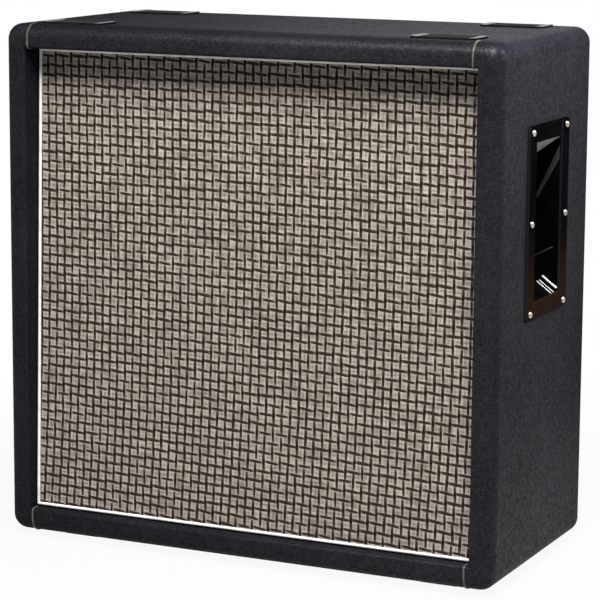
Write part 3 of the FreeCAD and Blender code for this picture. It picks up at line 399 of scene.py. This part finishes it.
def wood_finish(name, early, late, along):
    """Sawn wood: grain drawn out along one direction, with pores."""
    f = Finish(name)
    grain = f.noise(34.0, 5.0, f.stretched(along))
    pore = f.noise(420.0, 2.0, f.stretched(along))
    rings = ((grain * 46.0).math("SINE") + 1.0) * 0.5
    colour = f.blend(0.65 * rings + 0.35 * pore, early, late)
    return f.surface(colour, 0.62 + 0.16 * (pore - 0.5), f.relief(pore, 0.12 * MM, 0.4))


def soft_finish(name, shade, light, scale, depth, roughness=0.9):
    """Pressed paper, card, cloth or rubber with a matt fibrous face."""
    f = Finish(name)
    fibre = f.noise(scale, 4.0)
    cloud = f.noise(45.0, 3.0)
    colour = f.blend(0.6 * fibre + 0.4 * cloud, shade, light)
    return f.surface(colour, roughness + 0.1 * (fibre - 0.5), f.relief(fibre, depth, 0.6),
                     Specular_IOR_Level=0.25)


vinyl = vinyl_finish("cabinet_vinyl", (0.0037, 0.0037, 0.0049), (0.0161, 0.016, 0.021))
back_vinyl = vinyl_finish("back_panel_vinyl", (0.0038, 0.0039, 0.0048), (0.0155, 0.0157, 0.0196))
grille_ground = grille_ground_finish()
dark_thread = dark_thread_finish()
white_piping = piping_finish("white_piping", (0.66, 0.64, 0.62), (0.86, 0.85, 0.83))
gold_piping = piping_finish("gold_piping", (0.045, 0.0435, 0.033), (0.094, 0.09, 0.069))
handle_plastic = moulding_finish(
    "handle_plastic", (0.0012, 0.0011, 0.0012), (0.0026, 0.0023, 0.0023), 0.3, 0.035)
handle_plate = handle_plate_finish()
tray_plastic = tray_finish()
# Pale grey bars: a painted highlight of light catching the ribs in each grip.
grip_bar = paint_finish("grip_bar", (0.5, 0.5, 0.5), (0.72, 0.72, 0.71), 0.35)
# Grey webs on each bucket's rear wall: painted reflections on the glossy wall.
grip_web = paint_finish("grip_web", (0.02, 0.02, 0.021), (0.034, 0.034, 0.035), 0.5)
# A pale grey pad under each bucket's roof makes the pale patch there.
finger_pad = soft_finish("finger_pad", (0.22, 0.22, 0.225), (0.36, 0.36, 0.365), 300.0, 0.1 * MM)
foot_rubber = soft_finish("foot_rubber", (0.008, 0.008, 0.008), (0.02, 0.02, 0.02), 600.0, 0.1 * MM)
bright_screw = metal_finish("bright_screw", (0.4, 0.33, 0.28), (0.58, 0.51, 0.46), 0.32)
dark_screw = metal_finish("dark_screw", (0.05, 0.05, 0.055), (0.11, 0.11, 0.115), 0.38)
plain_screw = metal_finish("plain_screw", (0.5, 0.49, 0.46), (0.66, 0.65, 0.62), 0.32)
jack_metal = metal_finish("jack_metal", (0.6, 0.6, 0.6), (0.78, 0.78, 0.77), 0.22)
plate_paint = paint_finish("plate_paint", (0.01, 0.01, 0.011), (0.018, 0.018, 0.019), 0.42)
jack_case = moulding_finish("jack_case", (0.008, 0.008, 0.009), (0.016, 0.016, 0.017), 0.4, 0.25)
basket_paint = paint_finish("basket_paint", (0.03, 0.032, 0.034), (0.05, 0.052, 0.056), 0.4)
plywood = wood_finish("birch_ply", (0.5, 0.36, 0.21), (0.66, 0.5, 0.32), (0.15, 1.0, 1.0))
batten_wood = wood_finish("batten_wood", (0.45, 0.3, 0.17), (0.6, 0.44, 0.27), (0.2, 1.0, 0.2))
baffle_wood = wood_finish("baffle_wood", (0.035, 0.033, 0.03), (0.075, 0.07, 0.062), (1.0, 1.0, 0.15))
cone_paper = soft_finish("cone_paper", (0.028, 0.026, 0.025), (0.07, 0.066, 0.06), 500.0, 0.15 * MM)
edge_paper = soft_finish("edge_paper", (0.02, 0.019, 0.018), (0.05, 0.047, 0.044), 420.0, 0.15 * MM, 0.7)
spider_cloth = soft_finish("spider_cloth", (0.3, 0.17, 0.06), (0.46, 0.28, 0.11), 800.0, 0.2 * MM)
gasket_card = soft_finish("gasket_card", (0.2, 0.16, 0.11), (0.34, 0.28, 0.2), 500.0, 0.2 * MM)
coil_copper = metal_finish("coil_copper", (0.6, 0.3, 0.17), (0.8, 0.45, 0.27), 0.35)
zinc_iron = metal_finish("zinc_iron", (0.42, 0.42, 0.4), (0.6, 0.6, 0.57), 0.4)
ferrite = soft_finish("ferrite", (0.025, 0.025, 0.027), (0.055, 0.055, 0.058), 300.0, 0.2 * MM, 0.6)
wire_sheath = soft_finish("wire_sheath", (0.012, 0.012, 0.013), (0.03, 0.03, 0.032), 200.0, 0.05 * MM, 0.45)
terminal_board = soft_finish(
    "terminal_board", (0.16, 0.085, 0.035), (0.27, 0.16, 0.075), 400.0, 0.1 * MM, 0.55)

NODE_FINISHES = {
    "vinyl_covering": vinyl,
    "back_panel": back_vinyl,
    "grille_piping": white_piping,
    "corner_piping": gold_piping,
    "stacking_trays": tray_plastic,
    "feet": foot_rubber,
    "jack_plate": plate_paint,
    "input_jack": jack_case,
    "jack_nut": jack_metal,
    "jack_washer": plain_screw,
    "baffle_board": baffle_wood,
    "grille_board": baffle_wood,
    "baffle_screws": dark_screw,
    "speaker_bolts": dark_screw,
    "tee_nuts": zinc_iron,
    "cone_edges": edge_paper,
    "spiders": spider_cloth,
    "speaker_gaskets": gasket_card,
    "top_plates": zinc_iron,
    "pole_yokes": zinc_iron,
    "magnets": ferrite,
    "speaker_wires": wire_sheath,
    "terminal_strips": terminal_board,
}
for side in ("left", "right"):
    NODE_FINISHES[f"{side}_side_panel"] = plywood
    NODE_FINISHES[f"front_batten_{side}"] = batten_wood
    NODE_FINISHES[f"{side}_handle_plate"] = handle_plate
    NODE_FINISHES[f"{side}_handle_bucket"] = handle_plastic
for level in ("top", "bottom"):
    NODE_FINISHES[f"{level}_panel"] = plywood
    NODE_FINISHES[f"front_batten_{level}"] = batten_wood
for inner in ("rear_cleats", "corner_blocks", "centre_post"):
    NODE_FINISHES[inner] = batten_wood
for number in range(1, 5):
    NODE_FINISHES[f"speaker_frame_{number}"] = basket_paint
    NODE_FINISHES[f"speaker_cone_{number}"] = cone_paper
    NODE_FINISHES[f"dust_cap_{number}"] = edge_paper
    NODE_FINISHES[f"voice_coil_{number}"] = coil_copper


def dress_nodes():
    """Give each CAD node its finish."""
    for node, finish in NODE_FINISHES.items():
        NODES[node].data.materials.clear()
        NODES[node].data.materials.append(finish)


# Pieces
def new_piece(name, mesh_maker, finish=None):
    """A mesh object at the origin, filled in by a maker that works on a bmesh."""
    mesh = bpy.data.meshes.new(name)
    form = bmesh.new()
    mesh_maker(form)
    bmesh.ops.recalc_face_normals(form, faces=form.faces)
    form.to_mesh(mesh)
    form.free()
    piece = bpy.data.objects.new(name, mesh)
    bpy.context.scene.collection.objects.link(piece)
    if finish:
        mesh.materials.append(finish)
    return piece


def keep_plain(piece):
    """Turn a piece with modifiers into a plain mesh."""
    shown = piece.evaluated_get(bpy.context.evaluated_depsgraph_get())
    mesh = bpy.data.meshes.new_from_object(shown)
    piece.modifiers.clear()
    piece.data = mesh
    return piece


def bridge(form, first, second):
    """Faces between two closed loops of as many points."""
    for k in range(len(first)):
        after = (k + 1) % len(first)
        form.faces.new((first[k], first[after], second[after], second[k]))


def ring(form, radius, height, sides):
    """A loop of points about Z."""
    angles = [2.0 * math.pi * k / sides for k in range(sides)]
    return [form.verts.new((radius * math.cos(a), radius * math.sin(a), height)) for a in angles]


def set_on(piece, slot, *nodes):
    """Fix a piece to the cabinet, in the place of the CAD nodes that it stands for. The slot is not used."""
    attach(piece, CABINET)
    if nodes:
        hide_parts(*nodes)


def geometry_net(name, sockets):
    """An empty geometry node group with named inputs; returns its net and its inputs by name."""
    tree = bpy.data.node_groups.new(name, "GeometryNodeTree")
    tree.interface.new_socket("Geometry", in_out="OUTPUT", socket_type="NodeSocketGeometry")
    tree.interface.new_socket("Geometry", in_out="INPUT", socket_type="NodeSocketGeometry")
    for label, kind in sockets.items():
        tree.interface.new_socket(label, in_out="INPUT", socket_type=f"NodeSocket{kind}")
    net = Net(tree)
    first = net.add("NodeGroupInput")
    return net, {label: first.out(label) for label in ("Geometry", *sockets)}


def run_net(piece, net, values):
    """Hang a geometry node group on a piece with its inputs set, and keep what it makes."""
    modifier = piece.modifiers.new(net.tree.name, "NODES")
    modifier.node_group = net.tree
    for item in net.tree.interface.items_tree:
        if item.in_out == "INPUT" and item.name in values:
            modifier[item.identifier] = values[item.name]
    return keep_plain(piece)


# Grille cloth
CLOTH_FACE = 0.45 * MM
CLOTH_TURN = 1.6 * MM
CLOTH_EDGE = 0.35 * MM
CLOTH_SKIN = 0.4 * MM
TURN_STEPS = 4


def stretched_cloth(form):
    """One sheet over the board's face, turned back round its four edges."""
    rings = [(CLOTH_EDGE, CLOTH_DEPTH - CLOTH_EDGE)]
    for step in range(TURN_STEPS + 1):
        angle = 0.5 * math.pi * step / TURN_STEPS
        rings.append((CLOTH_EDGE + CLOTH_TURN * (1.0 - math.cos(angle)),
                      CLOTH_FACE + CLOTH_TURN * (1.0 - math.sin(angle))))
    corners = ((-1, -1), (1, -1), (1, 1), (-1, 1))
    loops = []
    for inset, depth in rings:
        loops.append([form.verts.new(LEAN @ Vector((sx * (cloth_x - inset), depth, sz * (cloth_z - inset))))
                      for sx, sz in corners])
    for outer, inner in zip(loops, loops[1:]):
        bridge(form, outer, inner)
    form.faces.new(loops[-1])


# Dark check threads: short floats, upright and level by turns, on a slightly bowed lattice.
# Each float strays from its crossing, sways by an angle in radians and swells, at random.
COLUMNS = 55
ROWS = 49
FLOAT_STEPS = (8, 4)
FLOAT_LIFT = 0.04 * MM
FLOAT_STRAY = 0.4 * MM
FLOAT_SWAY = 0.05
FLOAT_SWELL_SHARES = (0.88, 1.12)
FLOAT_TAPER_SHARE = 0.15
FLOAT_CROWN_SHARE = 0.9
LEVEL_RUN_SHARE = 0.06
THREAD_MARGIN = 3.0 * MM
THREADS = {
    "Columns": COLUMNS,
    "Rows": ROWS,
    "Column Pitch": COLUMN_PITCH,
    "Row Pitch": ROW_PITCH,
    "Upright Length": 25.0 * MM,
    "Upright Width": 4.1 * MM,
    "Level Length": 22.1 * MM,
    "Level Width": 4.2 * MM,
    "Level Tilt": math.radians(-5.5),
    "Thickness": 0.55 * MM,
    "Half Width": cloth_x - THREAD_MARGIN,
    "Half Height": cloth_z - THREAD_MARGIN,
    "Finish": dark_thread,
    "Seed": 7,
}
THREAD_SOCKETS = {
    "Columns": "Int", "Rows": "Int", "Column Pitch": "Float", "Row Pitch": "Float",
    "Upright Length": "Float", "Upright Width": "Float", "Level Length": "Float", "Level Width": "Float",
    "Level Tilt": "Float", "Thickness": "Float", "Half Width": "Float", "Half Height": "Float",
    "Finish": "Material", "Seed": "Int",
}


def random_between(net, low, high, seed):
    settings = {"data_type": "FLOAT"}
    return net.add("FunctionNodeRandomValue", settings, {2: low, 3: high, "Seed": seed}, 1)


def one_float(net, given, run_share):
    """One float on a unit length and width: a lens that dips under at both ends and carries its run."""
    sizes = {"Size X": 1.0, "Size Y": 1.0, "Vertices X": FLOAT_STEPS[0], "Vertices Y": FLOAT_STEPS[1]}
    strip = net.add("GeometryNodeMeshGrid", inputs=sizes)
    x, y, _ = net.axes(net.add("GeometryNodeInputPosition"))
    run = x * 2.0
    side = y * 2.0
    reach = run * run
    crown = (1.0 - reach * reach) * (1.0 - FLOAT_CROWN_SHARE * side * side)
    shaped = net.vector(x, y * (1.0 - FLOAT_TAPER_SHARE * reach), FLOAT_LIFT + given["Thickness"] * crown)
    marked = net.add("GeometryNodeStoreNamedAttribute", {"data_type": "FLOAT", "domain": "POINT"},
                     {"Geometry": strip, "Name": FLOAT_RUN, "Value": run_share + (1.0 - run_share) * reach})
    return net.add("GeometryNodeSetPosition", inputs={"Geometry": marked, "Position": shaped})


def thread_net():
    """Floats on the crossings of the bowed lattice, upright and level by turns, kept on the cloth."""
    net, given = geometry_net("check_threads", THREAD_SOCKETS)
    lattice = net.add("GeometryNodeMeshGrid", inputs={
        "Size X": given["Column Pitch"] * (given["Columns"] - 1.0),
        "Size Y": given["Row Pitch"] * (given["Rows"] - 1.0),
        "Vertices X": given["Columns"], "Vertices Y": given["Rows"]})
    x, y, _ = net.axes(net.add("GeometryNodeInputPosition"))
    column = (x / given["Column Pitch"]).math("ROUND")
    row = (y / given["Row Pitch"]).math("ROUND")
    upright = (column + row).math("ABSOLUTE").math("MODULO", 2.0)
    marked = net.add("GeometryNodeStoreNamedAttribute", {"data_type": "FLOAT", "domain": "POINT"},
                     {"Geometry": lattice, "Name": "upright", "Value": upright})
    across, up = lattice_drift(x, y)
    strays = [random_between(net, -FLOAT_STRAY, FLOAT_STRAY, given["Seed"] + shift) for shift in (0.0, 1.0)]
    bowed = net.vector(x + across + strays[0], y + up + strays[1], 0.0)
    spots = net.add("GeometryNodeSetPosition", inputs={"Geometry": marked, "Position": bowed})
    mark = net.add("GeometryNodeInputNamedAttribute", {"data_type": "FLOAT"}, {"Name": "upright"})
    sway = random_between(net, -FLOAT_SWAY, FLOAT_SWAY, given["Seed"] + 2.0)
    swell = random_between(net, *FLOAT_SWELL_SHARES, given["Seed"] + 3.0)
    ways = (
        (mark.math("GREATER_THAN", 0.5), 0.5 * math.pi + sway, "Upright", 0.0),
        (mark.math("LESS_THAN", 0.5), given["Level Tilt"] + sway, "Level", LEVEL_RUN_SHARE))
    sets = []
    for chosen, turn, way, run_share in ways:
        pad = one_float(net, given, run_share)
        size = net.vector(given[f"{way} Length"] * swell, given[f"{way} Width"] * swell, 1.0)
        sets.append(net.add("GeometryNodeInstanceOnPoints", inputs={
            "Points": spots, "Selection": chosen, "Instance": pad,
            "Rotation": net.vector(0.0, 0.0, turn), "Scale": size}))
    joined = net.add("GeometryNodeJoinGeometry")
    for copies in sets:
        net.tree.links.new(copies.socket, joined.socket.node.inputs[0])
    solid = net.add("GeometryNodeRealizeInstances", inputs={"Geometry": joined})
    x, y, z = net.axes(net.add("GeometryNodeInputPosition"))
    kept_x = x.math("MINIMUM", given["Half Width"]).math("MAXIMUM", -given["Half Width"])
    kept_y = y.math("MINIMUM", given["Half Height"]).math("MAXIMUM", -given["Half Height"])
    kept = net.vector(kept_x, kept_y, z)
    clipped = net.add("GeometryNodeSetPosition", inputs={"Geometry": solid, "Position": kept})
    smooth = net.add("GeometryNodeSetShadeSmooth", inputs={"Geometry": clipped})
    painted = net.add("GeometryNodeSetMaterial", inputs={"Geometry": smooth, "Material": given["Finish"]})
    net.add("NodeGroupOutput", inputs={0: painted})
    return net


def grille_pieces():
    """The cloth as a stretched sheet, and its check threads."""
    cloth = new_piece("grille_cloth_sheet", stretched_cloth, grille_ground)
    skin = cloth.modifiers.new("cloth_thickness", "SOLIDIFY")
    skin.thickness = CLOTH_SKIN
    skin.offset = -1.0
    keep_plain(cloth)
    threads = run_net(new_piece("grille_check_threads", lambda form: None), thread_net(), THREADS)
    on_face = Matrix.Translation((0.0, CLOTH_FACE, 0.0)) @ Matrix.Rotation(0.5 * math.pi, 4, "X")
    threads.data.transform(LEAN @ on_face)
    set_on(cloth, "grille_cloth", "grille_cloth")
    set_on(threads, "grille_cloth")


# Copies of one form on marked spots
COPY_SOCKETS = {"Form": "Object", "Finish": "Material"}
COPY_MARKS = ("turn", "size")
FULL_SIZE = (1.0, 1.0, 1.0)


def copies_net():
    """One form on each point, with the turn and the size that the point is marked with."""
    net, given = geometry_net("placed_copies", COPY_SOCKETS)
    form = net.add("GeometryNodeObjectInfo", {"transform_space": "ORIGINAL"}, {"Object": given["Form"]},
                   "Geometry")
    turn, size = (net.add("GeometryNodeInputNamedAttribute", {"data_type": "FLOAT_VECTOR"}, {"Name": mark})
                  for mark in COPY_MARKS)
    copies = net.add("GeometryNodeInstanceOnPoints", inputs={
        "Points": given["Geometry"], "Instance": form, "Rotation": turn, "Scale": size})
    solid = net.add("GeometryNodeRealizeInstances", inputs={"Geometry": copies})
    painted = net.add("GeometryNodeSetMaterial", inputs={"Geometry": solid, "Material": given["Finish"]})
    net.add("NodeGroupOutput", inputs={0: painted})
    return net


placed_copies = copies_net()


def copy_on(name, form, spots, finish):
    """Copies of a form on (place, turn, size) spots, as one plain piece."""
    piece = new_piece(name, lambda net: [net.verts.new(spot[0]) for spot in spots])
    for label, values in zip(COPY_MARKS, list(zip(*spots))[1:]):
        marks = piece.data.attributes.new(label, "FLOAT_VECTOR", "POINT")
        for mark, value in zip(marks.data, values):
            mark.vector = value
    run_net(piece, placed_copies, {"Form": form, "Finish": finish})
    bpy.data.objects.remove(form)
    return piece


# Screws: heights of their heads, radii of their shanks and the form of a head
HANDLE_HEAD = 4.0 * MM
BACK_HEAD = 2.8 * MM
SMALL_HEAD = 1.8 * MM
WOOD_SHANK = 2.0 * MM
SMALL_SHANK = 1.5 * MM
HEAD_SIDES = 28
DOME_STEPS = 6
HEAD_RIM_SHARE = 0.22
RECESS_REACH_SHARE = 0.46
RECESS_WIDTH_SHARE = 0.15
RECESS_TOP_SHARE = 1.2
RECESS_FLOOR_SHARE = 0.5
RECESS_TAPER_SHARE = 0.45


def turned_form(form, profile, sides):
    """Turn (radius, height) points about Z; the first and last points lie on the axis."""
    loops = [ring(form, radius, height, sides) for radius, height in profile[1:-1]]
    ends = [form.verts.new((0.0, 0.0, height)) for _, height in (profile[0], profile[-1])]
    for k in range(sides):
        after = (k + 1) % sides
        form.faces.new((ends[0], loops[0][k], loops[0][after]))
        form.faces.new((ends[1], loops[-1][after], loops[-1][k]))
    for upper, lower in zip(loops, loops[1:]):
        bridge(form, lower, upper)


def cross_form(form, reach, width, top, floor):
    """A tapered cross for the driver recess."""
    arms = ((reach, 0.5 * width), (0.5 * width, reach))
    for half_x, half_y in arms:
        rims = []
        for height, share in ((top, 1.0), (floor, RECESS_TAPER_SHARE)):
            rims.append([form.verts.new((sx * half_x * share, sy * half_y * share, height))
                         for sx, sy in ((-1, -1), (1, -1), (1, 1), (-1, 1))])
        form.faces.new(rims[0])
        form.faces.new(rims[1][::-1])
        bridge(form, rims[1], rims[0])


def screw_form(name, radius, height, shank, length):
    """A cross-head wood screw that stands on its seat, head up."""
    profile = [(0.0, height)]
    for step in range(1, DOME_STEPS + 1):
        angle = 0.5 * math.pi * step / DOME_STEPS
        crown = HEAD_RIM_SHARE + (1.0 - HEAD_RIM_SHARE) * math.cos(angle)
        profile.append((radius * math.sin(angle), height * crown))
    profile += [(radius, 0.0), (shank, 0.0), (shank, -length), (0.0, -length)]
    head = new_piece(name, lambda form: turned_form(form, profile, HEAD_SIDES))
    recess = new_piece(f"{name}_recess", lambda form: cross_form(
        form, RECESS_REACH_SHARE * radius, RECESS_WIDTH_SHARE * radius, RECESS_TOP_SHARE * height,
        RECESS_FLOOR_SHARE * height))
    cutter = head.modifiers.new("recess", "BOOLEAN")
    cutter.operation = "DIFFERENCE"
    cutter.solver = "EXACT"
    cutter.use_self = True
    cutter.object = recess
    keep_plain(head)
    bpy.data.objects.remove(recess)
    return head


def solids_of(node):
    """The (low, high) corners of each separate solid of a CAD node."""
    form = bmesh.new()
    form.from_mesh(NODES[node].data)
    bmesh.ops.remove_doubles(form, verts=form.verts, dist=1e-6)
    left = set(form.verts)
    boxes = []
    while left:
        group = [left.pop()]
        for vert in group:
            near = {edge.other_vert(vert) for edge in vert.link_edges} & left
            left -= near
            group.extend(near)
        places = [vert.co for vert in group]
        boxes.append((Vector(map(min, zip(*places))), Vector(map(max, zip(*places)))))
    form.free()
    return boxes


def fasten(node, height, shank, finish, slot, outward):
    """Cross-head screws in the places of a CAD node's screws, which are all of one size."""
    spots = []
    for low, high in solids_of(node):
        way = Vector(outward(low + high))
        middle = 0.5 * (low + high)
        size = high - low
        whole = abs(size.dot(way))
        radius = 0.5 * min(s for s, w in zip(size, way) if not w)
        place = middle + way * (0.5 * whole - height)
        spots.append((place, way.to_track_quat("Z", "Y").to_euler(), FULL_SIZE))
    form = screw_form(f"{node}_form", radius, height, shank, whole - height)
    set_on(copy_on(f"{node}_cross_head", form, spots, finish), slot, node)


def all_screws():
    """The screws that show, each kind with the way that its heads face."""
    fasten("handle_screws", HANDLE_HEAD, WOOD_SHANK, bright_screw, "handle_screw",
           lambda sum_of_ends: (math.copysign(1.0, sum_of_ends.x), 0.0, 0.0))
    fasten("back_panel_screws", BACK_HEAD, WOOD_SHANK, dark_screw, "dark_screw", lambda _: (0.0, 1.0, 0.0))
    fasten("jack_plate_screws", SMALL_HEAD, SMALL_SHANK, dark_screw, "dark_screw", lambda _: (0.0, 1.0, 0.0))
    fasten("tray_screws", SMALL_HEAD, SMALL_SHANK, dark_screw, "dark_screw", lambda _: (0.0, 0.0, 1.0))
    fasten("foot_screws", SMALL_HEAD, SMALL_SHANK, plain_screw, "plain_screw", lambda _: (0.0, 0.0, -1.0))


# Inside each handle bucket: pale bars over the sloping floor, as painted highlights, grey webs on the rear
# wall, as painted reflections, and a pale pad under the roof.
# A bar has its inset from the rear wall, its lift off the floor and its share of the bar form's radius.
# A web's outline has depths from the mouth and heights from the floor, in millimetres.
BAR_LENGTH = 28.0 * MM
BAR_RADIUS = 1.1 * MM
BAR_SIDES = 12
BAR_DOME_STEPS = 3
BARS = ((1.8 * MM, 4.6 * MM, 1.5), (14.0 * MM, 0.5 * MM, 0.75), (24.5 * MM, 0.5 * MM, 0.75))
WEB_PROUD = 1.2 * MM
WEB_OUTLINES = (
    ((1.0, 210.0), (34.6, 138.0), (33.0, 132.0), (1.0, 191.0)),
    ((34.2, 48.8), (34.2, 50.8), (8.0, 64.9), (8.0, 62.9)))
PAD_THICKNESS = 0.8 * MM
PAD_MARGIN = 0.5 * MM
SIDES = (1.0, -1.0)


def bar_form(form):
    """A round bar along X with domed ends."""
    profile = [(0.0, BAR_LENGTH)]
    for step in range(1, BAR_DOME_STEPS + 1):
        angle = 0.5 * math.pi * step / BAR_DOME_STEPS
        profile.append((BAR_RADIUS * math.sin(angle), BAR_LENGTH - BAR_RADIUS * (1.0 - math.cos(angle))))
    profile += [(radius, BAR_LENGTH - height) for radius, height in profile[::-1]]
    turned_form(form, profile, BAR_SIDES)
    bmesh.ops.rotate(form, verts=form.verts, matrix=Matrix.Rotation(0.5 * math.pi, 3, "Y"))


def slab(form, face, thickness):
    """A slab whose one face is given by its corners, thickened by a vector."""
    near = [form.verts.new(corner) for corner in face]
    far = [form.verts.new(corner + thickness) for corner in face]
    form.faces.new(near)
    form.faces.new(far[::-1])
    bridge(form, far, near)


def rear_webs(form):
    """Slanting grey webs that stand out a little from each bucket's rear wall, as painted reflections on it.
    """
    for side in SIDES:
        for points in WEB_OUTLINES:
            face = [Vector((side * (GRIP_MOUTH - depth * MM), GRIP_REAR, GRIP_LOW + height * MM))
                    for depth, height in points]
            slab(form, face, Vector((0.0, -WEB_PROUD, 0.0)))


def roof_pads(form):
    """A pad under each bucket's sloping roof."""
    slope = RAMP_RISE / BUCKET_DEPTH
    near = PAD_MARGIN
    far = BUCKET_DEPTH - PAD_MARGIN
    front = GRIP_FRONT + PAD_MARGIN
    rear = GRIP_REAR - PAD_MARGIN
    corners = ((near, front), (near, rear), (far, rear), (far, front))
    for side in SIDES:
        face = [Vector((side * (GRIP_MOUTH - depth), y, GRIP_HIGH - slope * depth)) for depth, y in corners]
        slab(form, face, Vector((0.0, 0.0, -PAD_THICKNESS)))


def grip_insides():
    """The bars, the webs and the pads of both handles, each kind as one piece."""
    slope = math.atan2(RAMP_RISE, BUCKET_DEPTH)
    run = BAR_LENGTH * math.cos(slope)
    start = GRIP_LOW + run * math.tan(slope)
    spots = []
    for side in SIDES:
        turn = (0.0, math.pi - slope, 0.0) if side < 0.0 else (0.0, slope, 0.0)
        for inset, lift, thick in BARS:
            place = Vector((side * (GRIP_MOUTH - run), GRIP_REAR - inset, start + lift))
            spots.append((place, turn, (1.0, thick, thick)))
    bars = copy_on("handle_grip_bars", new_piece("grip_bar_form", bar_form), spots, grip_bar)
    set_on(bars, "handle_screw")
    set_on(new_piece("handle_grip_webs", rear_webs, grip_web), "handle_plastic")
    set_on(new_piece("handle_finger_pads", roof_pads, finger_pad), "handle_plastic")


# Stage
FLOOR_SIDES = 64
FLOOR_RINGS = (0.5, 1.0, 2.0, 4.0, 8.0, 14.0)
FLOOR_FADE = (0.5, 1.6)


def floor_disc(form):
    """A flat disc under the cabinet, in rings."""
    loops = [ring(form, radius, 0.0, FLOOR_SIDES) for radius in FLOOR_RINGS]
    form.faces.new(loops[0])
    for inner, outer in zip(loops, loops[1:]):
        bridge(form, outer, inner)


def seen_rays(net):
    """One for rays that show a surface: from the camera, or by way of a mirror or of glass."""
    path = net.add("ShaderNodeLightPath", output="Is Camera Ray")
    return path.math("MAXIMUM", path.out("Is Glossy Ray")).math("MAXIMUM", path.out("Is Transmission Ray"))


def floor_finish():
    """Pale studio floor that goes to white and keeps the cabinet's soft shadow."""
    f = Finish("pale_floor")
    x, y, _ = f.axes(f.place)
    away = (x * x + y * y).math("SQRT")
    cloud = f.noise(1.5, 2.0)
    white = f.ramp(away, *FLOOR_FADE, 0.93, 1.0)
    grey = f.blend(cloud, (0.34, 0.34, 0.35), (0.38, 0.38, 0.38))
    paper = f.add("ShaderNodeBsdfDiffuse", inputs={"Color": grey})
    glow = f.add("ShaderNodeEmission", inputs={"Color": (1.0, 1.0, 1.0, 1.0), "Strength": 1.0})
    mixed = f.add("ShaderNodeMixShader", inputs={0: seen_rays(f) * white, 1: paper, 2: glow})
    f.add("ShaderNodeOutputMaterial", inputs={"Surface": mixed})
    return f.material


def studio_floor():
    new_piece("studio_floor", floor_disc, floor_finish())


def studio_world():
    """A white horizon that darkens upwards, where it is seen, and a weak even fill."""
    world = bpy.data.worlds.new("studio_world")
    world.use_nodes = True
    bpy.context.scene.world = world
    net = Net(world.node_tree)
    net.tree.nodes.clear()
    _, _, lift = net.axes(net.add("ShaderNodeTexCoord", output="Generated"))
    ceiling = net.ramp(lift, -0.03, 0.15, 1.0, 0.1)
    grey = net.add("ShaderNodeCombineColor", inputs={0: ceiling, 1: ceiling, 2: ceiling})
    seen = net.add("ShaderNodeBackground", inputs={"Color": grey, "Strength": 1.0})
    fill = net.add("ShaderNodeBackground", inputs={"Color": (1.0, 0.97, 0.93, 1.0), "Strength": 0.12})
    mixed = net.add("ShaderNodeMixShader", inputs={0: seen_rays(net), 1: fill, 2: seen})
    net.add("ShaderNodeOutputWorld", inputs={"Surface": mixed})


# Lamps: name, place, power in watts, size and colour
PLAIN_LIGHT = (1.0, 1.0, 1.0)
COOL_LIGHT = (0.86, 0.88, 1.0)
LAMPS = (
    ("key_softbox", (1.0, -1.55, 3.0), 184.0, 1.3, PLAIN_LIGHT),
    ("front_strip", (-0.7, -1.95, 3.0), 45.0, 0.6, PLAIN_LIGHT),
    ("right_softbox", (2.4, 1.7, 1.5), 26.0, 1.2, COOL_LIGHT),
    ("right_high", (0.72, 0.15, 1.08), 6.0, 0.35, COOL_LIGHT),
    ("left_softbox", (-2.6, -1.9, 1.4), 5.0, 1.6, PLAIN_LIGHT),
    ("rear_softbox", (-0.6, 2.6, 2.4), 20.0, 1.6, PLAIN_LIGHT))
LAMP_TARGET = Vector((0.0, 0.0, 0.4))


def studio_lamps():
    for name, place, power, size, colour in LAMPS:
        light = bpy.data.lights.new(name, "AREA")
        light.energy = power
        light.size = size
        light.color = colour
        lamp = bpy.data.objects.new(name, light)
        lamp.location = place
        lamp.rotation_euler = (LAMP_TARGET - Vector(place)).to_track_quat("-Z", "Y").to_euler()
        bpy.context.scene.collection.objects.link(lamp)


# Camera
VIEW_TURN = math.radians(25.2379)
VIEW_RISE = math.radians(9.739)
VIEW_ROLL = math.radians(0.3597)
VIEW_DISTANCE = 3.70933
VIEW_TARGET = Vector((0.0, 0.0, 0.3875))
VIEW_LENS_SHARE = 4.19211
VIEW_SHIFT_SHARES = (0.00609, -0.03086)
VIEW_REACH = 60.0
SENSOR_WIDTH = 36.0


def photo_camera():
    """The camera that the photograph's outline was fitted with."""
    data = bpy.data.cameras.new("photo_camera")
    data.sensor_width = SENSOR_WIDTH
    data.lens = VIEW_LENS_SHARE * SENSOR_WIDTH
    data.shift_x, data.shift_y = VIEW_SHIFT_SHARES
    data.clip_end = VIEW_REACH
    towards = Vector((math.sin(VIEW_TURN) * math.cos(VIEW_RISE), -math.cos(VIEW_TURN) * math.cos(VIEW_RISE),
                      math.sin(VIEW_RISE)))
    right = Vector((math.cos(VIEW_TURN), math.sin(VIEW_TURN), 0.0))
    up = towards.cross(right)
    rolled_right = math.cos(VIEW_ROLL) * right + math.sin(VIEW_ROLL) * up
    rolled_up = math.cos(VIEW_ROLL) * up - math.sin(VIEW_ROLL) * right
    camera = bpy.data.objects.new("photo_camera", data)
    turn = Matrix((rolled_right, rolled_up, towards)).transposed()
    camera.matrix_world = Matrix.Translation(VIEW_TARGET + VIEW_DISTANCE * towards) @ turn.to_4x4()
    bpy.context.scene.collection.objects.link(camera)
    bpy.context.scene.camera = camera


dress_nodes()
grille_pieces()
all_screws()
grip_insides()
studio_floor()
studio_world()
studio_lamps()
photo_camera()
bpy.context.scene.view_settings.view_transform = "Standard"
